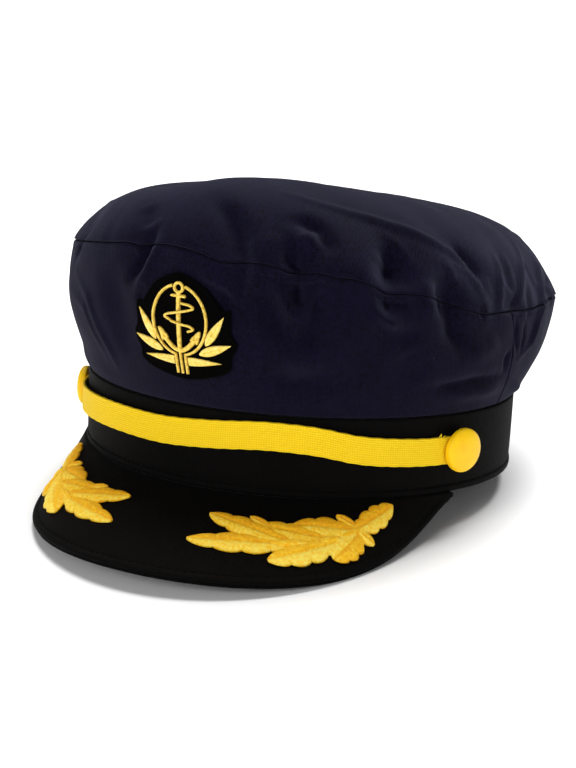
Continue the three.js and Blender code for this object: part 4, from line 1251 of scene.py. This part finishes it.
def add_peak_stitches(mesh, sizes):
    shares = np.linspace(-PEAK_STITCHES_END, PEAK_STITCHES_END, 2000)
    sunk = np.full(len(shares), -PEAK_STITCHES_SUNK)
    line = on_peak(shares, 1 - PEAK_STITCHES_IN / peak_reach(shares), sunk)
    lengths = lengths_along(line)
    pitch = sizes.stitch_pitch / MM

    def line_at(length):
        return np.array([np.interp(length, lengths, line[:, k]) for k in range(3)])

    for length in np.arange(pitch, lengths[-1] - pitch, pitch):
        share = np.interp(length, lengths, shares)
        out = 1 - PEAK_STITCHES_IN / peak_reach(share)
        up = unit(on_peak(share, out, np.array(1.0)) - on_peak(share, out, np.array(0.0)))
        along = unit(line_at(length + 0.5) - line_at(length - 0.5))
        add_stitch(mesh, line_at(length), along, up, sizes.stitch_length / MM)


def add_hem_stitches(mesh, sizes):
    radius = BAND_RADIUS - HEM_PROUD - 0.1
    count = round(2 * math.pi * radius / (sizes.stitch_pitch / MM))
    for angle in np.arange(count) * 360 / count:
        up = outward(np.array(angle))
        middle = up * (radius - band_press(angle)) + np.array([0, 0, HEM_HEIGHT + 0.3])
        along = outward(np.array(angle + 90))
        add_stitch(mesh, middle, along, up, sizes.stitch_length / MM)


class CAPTAINHAT_OT_band_and_peak(bpy.types.Operator):
    """Make the head band and the two layers of the peak from black ribbed cloth, with their stitches"""

    bl_idname = "captain_hat.band_and_peak"
    bl_label = "Band and Peak"

    def execute(self, context):
        sizes, colours = context.scene.captain_hat_sizes, context.scene.captain_hat_colours
        rib = black_rib(colours.black)
        make_band(rib)
        make_peak_layer("peak_cover", "peak", rib, 0, PEAK_COVER, 0, True)
        make_peak_layer("peak_lower_facing", "peak_facing", rib,
                        PEAK_COVER + LAYER_GAP, PEAK_FACING, FACING_SET_IN, False)
        mesh = start_mesh()
        add_peak_stitches(mesh, sizes)
        add_hem_stitches(mesh, sizes)
        link_piece(mesh, "band_and_peak_stitches", rib)
        return {"FINISHED"}


# Chin strap and buttons

def strap_section(rib_depth):
    """Rows of (share of the half width, distance off the band, painted shade of the groove) round the ribbed
    strap's section
    """
    per_rib = 6
    rows = []
    for i in range(STRAP_RIBS * per_rib + 1):
        share = 2 * i / (STRAP_RIBS * per_rib) - 1
        rib = abs(math.sin(math.pi * i / per_rib))
        rounding = 0.35 * STRAP_THICKNESS * max(0, (abs(share) - 0.94) / 0.06) ** 2
        # The last value is painted shade, 1 in the grooves between the ribs
        rows.append((share, STRAP_THICKNESS - rib_depth * (1 - rib ** 0.7) - rounding, 1 - rib))
    rows += [(1, 0.3, 0), (0.9, 0, 0), (0.3, 0, 0), (-0.3, 0, 0), (-0.9, 0, 0), (-1, 0.3, 0)]
    return np.array(rows)


def make_strap(sizes, webbing):
    section = strap_section(sizes.rib_depth / MM)
    count = len(section)
    start, end = STRAP_ANGLES[0], STRAP_ANGLES[-1]

    def place(u, v):
        row = section[step_at(v, count) % count]
        angle = np.clip(start + (end - start) * u, start, end)
        rise = smooth_row(angle, STRAP_ANGLES, STRAP_RISES) * STRAP_WIDTH
        slack = smooth_row(angle, STRAP_ANGLES, STRAP_SLACKS) * STRAP_THICKNESS
        edge = STRAP_EDGE_WAVE * np.sin(np.radians(angle) * STRAP_EDGE_WAVES + 2 * np.sign(row[:, 0]))
        edge = edge * (np.abs(row[:, 0]) > 0.85)
        points = outward(angle) * (BAND_RADIUS + GAP + slack + row[:, 1])[:, None]
        points[:, 2] = BUTTON_HEIGHT + rise + row[:, 0] * STRAP_WIDTH / 2 + edge
        return points

    def flat(u, v):
        row = section[step_at(v, count) % count]
        length = np.radians((end - start) * u) * BAND_RADIUS
        return np.stack([length, row[:, 0] * STRAP_WIDTH / 2], axis=-1) * MM

    # Painted shade of the grooves between the ribs, carried in the tone attribute
    def tone(u, v):
        return section[step_at(v, count) % count, 2]

    mesh = start_mesh()
    add_sheet(mesh, STRAP_COLUMNS, count, place, flat, tone, ends=True)
    link_piece(mesh, "strap_webbing", webbing, ["strap"])


def add_loose_threads(mesh):
    """Short ends of thread that stand out of the strap beside the left button"""
    for turn, start, tall, lean in LOOSE_THREADS:
        climb = np.linspace(0, 1, 9)
        angle = turn + lean * climb ** 2
        off = BAND_RADIUS + GAP + STRAP_THICKNESS * (0.7 + 0.9 * climb * (1 - 0.4 * climb))
        path = outward(angle) * off[:, None]
        path[:, 2] = BUTTON_HEIGHT + start + (tall - 0.6) * climb
        add_tube(mesh, path, outward(np.array(turn)), 0.2 * (1 - 0.6 * climb), sides=6)


def button_profile():
    """Radius and height from the post's head inside the band up to the top of the dome"""
    inside = -(GAP + STRAP_THICKNESS + GAP + HEM_PROUD + BAND_WALL + 2 * GAP)
    edge = BUTTON_ROUNDING
    rim = [(BUTTON_RADIUS - edge + edge * math.sin(turn), edge - edge * math.cos(turn))
           for turn in np.linspace(0, math.pi / 2, 6)]
    low, tall = BUTTON_SIDE * 0.75, BUTTON_DOME + BUTTON_SIDE * 0.25
    dome = [(BUTTON_RADIUS * math.cos(turn) ** 0.8, low + tall * math.sin(turn))
            for turn in np.linspace(0, math.pi / 2, 22)[1:-1]]
    head = [(0, inside - POST_HEAD), (POST_HEAD_RADIUS - 0.2, inside - POST_HEAD)]
    head += [(POST_HEAD_RADIUS, inside - POST_HEAD + 0.2), (POST_HEAD_RADIUS, inside - 0.15)]
    post = [(POST_HEAD_RADIUS - 0.15, inside), (POST_RADIUS, inside), (POST_RADIUS, 0)]
    return head + post + rim + dome + [(0, BUTTON_SIDE + BUTTON_DOME)]


def make_button(side, name, node, plastic):
    mesh = start_mesh()
    add_turned(mesh, [(radius, 0, height) for radius, height in button_profile()], False, BUTTON_STEPS)
    bmesh.ops.remove_doubles(mesh, verts=mesh.verts, dist=JOIN_DISTANCE)
    direction = Vector(outward(np.array(side * BUTTON_ANGLE)))
    seat = direction * (BAND_RADIUS + GAP + STRAP_THICKNESS + GAP) + Vector((0, 0, BUTTON_HEIGHT))
    stand = Matrix.Translation(seat) @ direction.to_track_quat("Z", "Y").to_matrix().to_4x4()
    bmesh.ops.transform(mesh, matrix=stand, verts=mesh.verts)
    link_piece(mesh, name, plastic, [node])


class CAPTAINHAT_OT_strap_and_buttons(bpy.types.Operator):
    """Make the ribbed chin strap and the two domed buttons that hold it"""

    bl_idname = "captain_hat.strap_and_buttons"
    bl_label = "Strap and Buttons"

    def execute(self, context):
        sizes, colours = context.scene.captain_hat_sizes, context.scene.captain_hat_colours
        webbing = yellow_webbing(colours.webbing)
        make_strap(sizes, webbing)
        mesh = start_mesh()
        add_loose_threads(mesh)
        link_piece(mesh, "strap_loose_threads", webbing)
        plastic = yellow_plastic(colours.button)
        make_button(1, "button_left_cap", "button_left", plastic)
        make_button(-1, "button_right_cap", "button_right", plastic)
        return {"FINISHED"}


# Badge

def on_badge(across, up, lift):
    """Point of the badge from its middle, across and up the front of the crown, and lifted off the cloth"""
    across, up, lift = np.broadcast_arrays(np.asarray(across, float), up, lift)
    angle = np.degrees((BADGE_ACROSS + across) / (BAND_RADIUS + SIDE_BULGE))
    seam = plain_crown(angle, np.ones_like(angle))[..., 2]
    way = (BADGE_HEIGHT + up - BAND_HEIGHT) / (seam - BAND_HEIGHT)
    return crown_point(angle, way, lift)


def closed_curve(points, count):
    """Smooth closed curve through points"""
    points = np.asarray(points, float)
    size = len(points)
    place = np.arange(count) * size / count
    i, t = np.floor(place).astype(int), (place % 1)[:, None]
    a, b, c, d = (points[(i + k) % size] for k in (-1, 0, 1, 2))
    bend, twist = 2 * a - 5 * b + 4 * c - d, 3 * b - a - 3 * c + d
    return 0.5 * (2 * b + (c - a) * t + bend * t ** 2 + twist * t ** 3)


def make_patch(felt):
    right = [(x * PATCH_HALF_WIDTH, y * PATCH_HALF_HEIGHT) for x, y in PATCH_OUTLINE]
    left = [(-x, y) for x, y in right[1:-1][::-1]]
    outline = closed_curve(right + left, PATCH_COLUMNS)
    middle = outline.mean(axis=0)
    low, high = GAP, GAP + PATCH_THICKNESS
    under = [(0.0, low), (0.6, low), (0.97, low)]
    edge = [(1.0, low + 0.3), (1.012, low + 0.6), (1.0, high - 0.15), (0.985, high), (0.965, high - 0.02)]
    face = [(0.94, high - 0.18), (0.9, high - 0.2), (0.8, high - 0.15), (0.6, high - 0.12)]
    face += [(share, high - 0.1) for share in (0.4, 0.2, 0.0)]
    rows = under + edge + face
    shares, lifts = np.array(rows).T

    def place(u, v):
        spot = outline[step_at(u, PATCH_COLUMNS) % PATCH_COLUMNS]
        row = step_at(v, len(rows) - 1)
        at = middle + (spot - middle) * shares[row][:, None]
        return on_badge(at[:, 0], at[:, 1], lifts[row])

    def flat(u, v):
        return place(u, v)[:, [0, 2]] * MM

    mesh = start_mesh()
    add_sheet(mesh, PATCH_COLUMNS, len(rows) - 1, place, flat)
    link_piece(mesh, "badge_felt", felt, ["badge_patch"])


def resampled(path, step, loop=False):
    """Path with points at an even step"""
    path = np.asarray(path, float)
    if loop:
        path = np.vstack([path, path[:1]])
    lengths = lengths_along(path[:, :2])
    count = max(4, math.ceil(lengths[-1] / step))
    even = np.linspace(0, lengths[-1], count + 1)
    return np.stack([np.interp(even, lengths, path[:, k]) for k in range(path.shape[1])], axis=1), even


def add_satin_cord(mesh, path, half, relief, loop=False, taper=0.0):
    """Half round bar of satin stitches that lie across a path of (across, up, lift) places on the badge"""
    path, lengths = resampled([tuple(p) + (0,) * (3 - len(p)) for p in path], CORD_STEP, loop)
    count = len(path) - 1
    if loop:
        along = unit(np.roll(path[:-1, :2], -1, axis=0) - np.roll(path[:-1, :2], 1, axis=0))
        along = np.vstack([along, along[:1]])
    else:
        along = unit(np.gradient(path[:, :2], axis=0))
    across = np.stack([along[:, 1], -along[:, 0]], axis=1)
    thread = np.abs(np.sin(math.pi * lengths / THREAD_PITCH)) ** 0.8
    width = half * (0.93 + 0.07 * thread)
    if taper:
        width = width * np.clip(np.minimum(lengths, lengths[-1] - lengths) / taper, 0, 1) ** 0.5
    sides, highs = np.array(CORD_SECTION).T
    rows = len(CORD_SECTION)

    def place(u, v):
        i, j = step_at(u, count), step_at(v, rows) % rows
        spot = path[i, :2] + across[i] * (sides[j] * width[i])[:, None]
        high = highs[j] * relief * (0.86 + 0.14 * thread[i])
        return on_badge(spot[:, 0], spot[:, 1], BADGE_LIFT + path[i, 2] + high)

    def flat(u, v):
        i, j = step_at(u, count), step_at(v, rows) % rows
        return np.stack([lengths[i], sides[j] * half], axis=-1) * MM

    # Painted light: shade between the stitches and down the cord's flanks, and one side of the cord lighter
    # than the other
    def tone(u, v):
        i, j = step_at(u, count), step_at(v, rows) % rows
        return 0.55 - 0.35 * (1 - thread[i]) - 0.3 * (1 - highs[j]) + 0.1 * sides[j]

    add_sheet(mesh, count, rows, place, flat, tone, ends=not loop)


def ring_path(side):
    clear = ANCHOR_EYE + ANCHOR_BAR / 2 + RING_CORD / 2
    start = math.asin(clear / RING_HALF_WIDTH)
    end = math.pi - math.asin(STEM_SPREAD / RING_HALF_WIDTH)
    turns = np.linspace(start, end, 60)
    bend = [(side * RING_HALF_WIDTH * math.sin(t), RING_HALF_HEIGHT * math.cos(t)) for t in turns]
    return bend + [(side * STEM_SPREAD, bend[-1][1] - 1), (side * STEM_SPREAD, -STEM_FOOT)]


def add_leaf(mesh, base, tip, width, relief, lift, place_at, lobes=0, blunt=0.0, tones=(0.5, 0.5), columns=64,
             pitch=THREAD_PITCH, slant=0.7, midrib=0.3, widest=0.5, plump=0.75):
    """Satin stitched leaf between two places, with threads that slant from its midrib to its edge"""
    base, tip = np.asarray(base, float), np.asarray(tip, float)
    length = float(np.linalg.norm(tip - base))
    along = (tip - base) / length
    side = np.array([-along[1], along[0]])
    upper = list(np.linspace(-1, 1, 23))
    rows = len(upper) + 3
    sides = np.array(upper + [0.6, 0.0, -0.6])
    lean = math.log(0.5) / math.log(widest)

    def shape(u):
        share = np.clip(u, 0, 1)
        swell = np.sin(math.pi * (blunt + (1 - blunt) * share) ** lean) ** plump
        wave = 0.8 + 0.26 * np.abs(np.sin(math.pi * lobes * share)) ** 0.6 if lobes else 1
        return width / 2 * np.clip(swell, 0, 1) * wave

    def parts(u, v):
        j = step_at(v, rows) % rows
        off = sides[j] * shape(u)
        threads = (u * length + slant * np.abs(off)) / pitch
        return j, off, threads

    def place(u, v):
        j, off, threads = parts(u, v)
        above = j < len(upper)
        t = sides[j]
        body = relief * (0.4 + 0.6 * np.sin(math.pi * np.clip(u, 0.02, 0.98)) ** 0.7)
        ridge = 1 - 0.1 * (1 - np.abs(np.sin(math.pi * threads)) ** 0.8)
        groove = 1 - midrib * np.exp(-(t / 0.12) ** 2)
        high = np.where(above, body * np.clip(1 - np.abs(t) ** 3.2, 0, 1) ** 0.6 * ridge * groove, -0.12)
        spot = base + along * (u * length)[:, None] + side * off[:, None]
        return place_at(spot[:, 0], spot[:, 1], lift + high)

    def flat(u, v):
        _, off, threads = parts(u, v)
        return np.stack([threads * pitch, off], axis=-1) * MM

    # Painted light: one half of the leaf lit and the other shaded, painted shade between the threads, along
    # the midrib and at the very edge, and a painted highlight near the edges
    def tone(u, v):
        j, _, threads = parts(u, v)
        t = sides[j]
        half = np.where(t > 0, tones[0], tones[1])
        return (half - 0.22 * (1 - np.abs(np.sin(math.pi * threads))) - 0.3 * np.exp(-(t / 0.1) ** 2)
                + 0.25 * np.clip(np.abs(t) - 0.75, 0, 1) - 0.5 * (np.abs(t) > 0.97))

    add_sheet(mesh, columns, rows, place, flat, tone, ends=True)


def add_fluke(mesh, side, root):
    along = np.array([side * 0.5, 0.87])
    across = np.array([0.87, -side * 0.5])
    tip = root + along * FLUKE_LENGTH * 0.75
    for part in (-1, 1):
        back = root - along * FLUKE_LENGTH * 0.25 + across * part * FLUKE_WIDTH / 2
        middle = root + along * FLUKE_LENGTH * 0.2
        add_satin_cord(mesh, [tuple(tip), tuple((tip + back) / 2 * 0.6 + middle * 0.4), tuple(back)],
                       0.75, ANCHOR_RELIEF * 0.8, taper=1.6)
    add_satin_cord(mesh, [tuple(root), tuple(tip)], 0.9, ANCHOR_RELIEF, taper=2.2)


def add_anchor(mesh):
    eye_up = RING_HALF_HEIGHT - ANCHOR_BAR
    stock_up = eye_up - ANCHOR_EYE - 1.5 * ANCHOR_BAR
    arms_up = -RING_HALF_HEIGHT + RING_CORD + GAP + ANCHOR_BAR
    turns = np.linspace(0, 2 * math.pi, 40)[:-1]
    add_satin_cord(mesh, [(ANCHOR_EYE * math.sin(t), eye_up + ANCHOR_EYE * math.cos(t)) for t in turns],
                   ANCHOR_BAR * 0.62, ANCHOR_RELIEF, loop=True)
    add_satin_cord(mesh, [(0, eye_up - ANCHOR_EYE), (0, arms_up)], ANCHOR_BAR, ANCHOR_RELIEF)
    add_satin_cord(mesh, [(0, arms_up + ANCHOR_BAR), (0, -STEM_FOOT)], ANCHOR_BAR * 0.62, ANCHOR_RELIEF * 0.9)
    stock = [(-ANCHOR_STOCK, stock_up), (ANCHOR_STOCK, stock_up)]
    add_satin_cord(mesh, stock, ANCHOR_BAR * 0.7, ANCHOR_RELIEF, taper=0.5)
    arms = [(ANCHOR_ARM_SPAN * share, arms_up + ANCHOR_ARM_RISE * (1 - math.cos(share * math.pi / 2)))
            for share in np.linspace(-1, 1, 40)]
    add_satin_cord(mesh, arms, ANCHOR_BAR * 1.05, ANCHOR_RELIEF)
    for side in (-1, 1):
        add_fluke(mesh, side, np.array([side * ANCHOR_ARM_SPAN, arms_up + ANCHOR_ARM_RISE]))


def rope_path():
    shares = np.linspace(0.03, 0.93, 60)
    swings = ROPE_SWING * np.sin(shares * math.pi * 3)
    near = ANCHOR_BAR + 2 * ROPE_CORD
    clear = 1 - smoothstep(np.abs(swings), near, near + 2)
    return list(zip(swings, ROPE_TOP - ROPE_DROP * shares, (ANCHOR_RELIEF + 0.1) * clear))


class CAPTAINHAT_OT_badge(bpy.types.Operator):
    """Make the badge: a felt patch with an anchor, an oval ring, a rope and leaves in gold thread"""

    bl_idname = "captain_hat.badge"
    bl_label = "Badge"

    def execute(self, context):
        colours = context.scene.captain_hat_colours
        make_patch(black_felt(colours.black))
        gold = gold_thread("badge_thread", colours.badge, *BADGE_SHADE_AND_HIGHLIGHT)
        for side, word in ((1, "left"), (-1, "right")):
            mesh = start_mesh()
            add_satin_cord(mesh, ring_path(side), RING_CORD, 1.0)
            link_piece(mesh, f"ring_{word}_thread", gold, [f"badge_ring_{word}"])
            for i, (base_x, base_y, tip_x, tip_y, wide, blunt) in enumerate(BADGE_LEAVES, 1):
                leaf = f"badge_leaf_{word}_{i}"
                mesh = start_mesh()
                add_leaf(
                    mesh,
                    base=(side * base_x * PATCH_HALF_WIDTH, base_y * PATCH_HALF_HEIGHT),
                    tip=(side * tip_x * PATCH_HALF_WIDTH, tip_y * PATCH_HALF_HEIGHT),
                    width=LEAF_WIDTH * wide,
                    relief=LEAF_RELIEF,
                    lift=BADGE_LIFT,
                    place_at=on_badge,
                    # Painted light: one half of each leaf a little lighter than the other
                    tones=(0.72, 0.62),
                    columns=LEAF_COLUMNS,
                    pitch=0.4,
                    slant=0.0,
                    midrib=0.0,
                    widest=0.38,
                    plump=0.95,
                    blunt=blunt,
                )
                link_piece(mesh, f"{leaf}_thread", gold, [leaf])
        mesh = start_mesh()
        add_anchor(mesh)
        link_piece(mesh, "anchor_thread", gold, ["badge_anchor"])
        mesh = start_mesh()
        add_satin_cord(mesh, rope_path(), ROPE_CORD, 0.9, taper=0.3)
        link_piece(mesh, "rope_thread", gold, ["badge_rope"])
        return {"FINISHED"}


# Oak leaf sprays

ROUND_LENGTH = math.radians(PEAK_HALF_ANGLE) * (BAND_RADIUS + PEAK_REACH / 2)


def spray_spot(share, out):
    return np.array([share * ROUND_LENGTH, out * float(peak_reach(share))])


def make_spray(side, word, thread):
    def place_at(x, y, lift):
        share = x / ROUND_LENGTH
        return on_peak(side * share, y / peak_reach(share), lift)

    mesh = start_mesh()
    for row in SPRAY_LEAVES:
        leaf = dict(zip(SPRAY_COLUMNS, row))
        base = spray_spot(leaf["base_round"], leaf["base_out"])
        tip = spray_spot(leaf["tip_round"], leaf["tip_out"])
        # Painted light of the leaf's two halves: one lit, the other in shade
        tones = (leaf["lower"], leaf["upper"])
        add_leaf(
            mesh,
            base=base,
            tip=tip,
            width=SPRAY_LEAF_WIDTH * leaf["wide"],
            relief=SPRAY_RELIEF,
            lift=SPRAY_LIFT + leaf["lift"],
            place_at=place_at,
            lobes=leaf["lobes"],
            tones=tones[::-1] if tip[0] < base[0] else tones,
            columns=SPRAY_LEAF_COLUMNS,
            widest=0.5,
            plump=0.55,
        )
    stem = [spray_spot(*spot) for spot in SPRAY_STEM]
    for start, end in zip(stem, stem[1:]):
        add_leaf(
            mesh,
            base=start,
            tip=end,
            width=SPRAY_STEM_WIDTH,
            relief=SPRAY_RELIEF,
            lift=SPRAY_LIFT + 0.5,
            place_at=place_at,
            tones=(0.6, 0.6),
            columns=SPRAY_STEM_COLUMNS,
            midrib=0.0,
            plump=0.4,
        )
    link_piece(mesh, f"spray_{word}_thread", thread, [f"spray_{word}"])


class CAPTAINHAT_OT_sprays(bpy.types.Operator):
    """Embroider the two oak leaf sprays on the peak in gold thread"""

    bl_idname = "captain_hat.sprays"
    bl_label = "Leaf Sprays"

    def execute(self, context):
        colours = context.scene.captain_hat_colours
        thread = gold_thread("spray_thread", colours.spray, *SPRAY_SHADE_AND_HIGHLIGHT)
        make_spray(1, "left", thread)
        make_spray(-1, "right", thread)
        return {"FINISHED"}


# Stage

def make_floor():
    mesh = bmesh.new()
    bmesh.ops.create_grid(mesh, x_segments=1, y_segments=1, size=FLOOR_HALF_SIZE)
    data = bpy.data.meshes.new("floor")
    mesh.to_mesh(data)
    mesh.free()
    data.materials.append(studio_floor())
    floor = bpy.data.objects.new("floor", data)
    bpy.context.scene.collection.objects.link(floor)


def add_soft_light(name, place, strength, spread):
    """Even light over the whole floor, from the direction of a place"""
    data = bpy.data.lights.new(name, "SUN")
    data.energy = strength
    data.angle = math.radians(spread)
    light = bpy.data.objects.new(name, data)
    light.location = place
    light.rotation_euler = Vector(place).to_track_quat("Z", "Y").to_euler()
    bpy.context.scene.collection.objects.link(light)


def white_studio():
    """World that looks white, and lights the hat from all round more weakly than it looks"""
    world = bpy.data.worlds.new("white_studio")
    world.use_nodes = True
    tree = world.node_tree
    seen = add_node(tree, "ShaderNodeLightPath").outputs["Is Camera Ray"]
    backdrop = tree.nodes["Background"]
    backdrop.inputs["Color"].default_value = (1.0, 1.0, 1.0, 1.0)
    tree.links.new(ranged(tree, seen, WORLD_LIGHT, 1.0), backdrop.inputs["Strength"])
    return world


def camera_place():
    """The camera's axes and place, carried from the hat of the photograph to the hat in the frame"""
    azimuth, elevation = math.radians(VIEW_AZIMUTH), math.radians(VIEW_ELEVATION)
    level = math.cos(elevation)
    back = Vector((math.sin(azimuth) * level, -math.cos(azimuth) * level, math.sin(elevation)))
    right = Vector((math.cos(azimuth), math.sin(azimuth), 0))
    up = back.cross(right)
    stand = back * VIEW_DISTANCE + right * VIEW_RIGHT + up * VIEW_UP
    axes = Matrix((right, up, back)).transposed().to_4x4()
    against_hat = Matrix.Rotation(math.radians(VIEW_LEAN), 4, "X") @ Matrix.Translation(stand) @ axes
    placed = HAT @ against_hat
    return Matrix.Translation(placed.translation) @ placed.to_quaternion().to_matrix().to_4x4()


class CAPTAINHAT_OT_stage(bpy.types.Operator):
    """Set up the pale floor, the soft lights and the camera"""

    bl_idname = "captain_hat.stage"
    bl_label = "Stage"

    def execute(self, context):
        scene = context.scene
        make_floor()
        for name, (place, strength, spread) in LIGHTS.items():
            add_soft_light(name, place, strength, spread)
        scene.world = white_studio()
        scene.view_settings.view_transform = "Standard"
        data = bpy.data.cameras.new("camera")
        data.sensor_fit = "VERTICAL"
        data.sensor_height = VIEW_SENSOR
        data.lens = VIEW_LENS
        camera = bpy.data.objects.new("camera", data)
        camera.matrix_world = camera_place()
        scene.collection.objects.link(camera)
        scene.camera = camera
        return {"FINISHED"}


class CAPTAINHAT_PT_panel(bpy.types.Panel):
    """Lists the hat's pieces, sizes and colours"""

    bl_idname = "CAPTAINHAT_PT_panel"
    bl_label = "Captain Hat"
    bl_space_type = "VIEW_3D"
    bl_region_type = "UI"
    bl_category = "Captain Hat"

    def draw(self, context):
        for operator in OPERATORS:
            self.layout.operator(operator.bl_idname)
        for group in (context.scene.captain_hat_sizes, context.scene.captain_hat_colours):
            box = self.layout.box()
            for name in group.__annotations__:
                box.prop(group, name)


OPERATORS = (
    CAPTAINHAT_OT_stage,
    CAPTAINHAT_OT_crown,
    CAPTAINHAT_OT_band_and_peak,
    CAPTAINHAT_OT_strap_and_buttons,
    CAPTAINHAT_OT_badge,
    CAPTAINHAT_OT_sprays,
)
CLASSES = (HatSizes, HatColours) + OPERATORS + (CAPTAINHAT_PT_panel,)


def register():
    for item in CLASSES:
        bpy.utils.register_class(item)
    bpy.types.Scene.captain_hat_sizes = PointerProperty(type=HatSizes)
    bpy.types.Scene.captain_hat_colours = PointerProperty(type=HatColours)


def unregister():
    del bpy.types.Scene.captain_hat_colours
    del bpy.types.Scene.captain_hat_sizes
    for item in reversed(CLASSES):
        bpy.utils.unregister_class(item)


def main():
    register()
    bpy.ops.captain_hat.stage()
    bpy.ops.captain_hat.crown()
    bpy.ops.captain_hat.band_and_peak()
    bpy.ops.captain_hat.strap_and_buttons()
    bpy.ops.captain_hat.badge()
    bpy.ops.captain_hat.sprays()


if __name__ == "__main__":
    main()
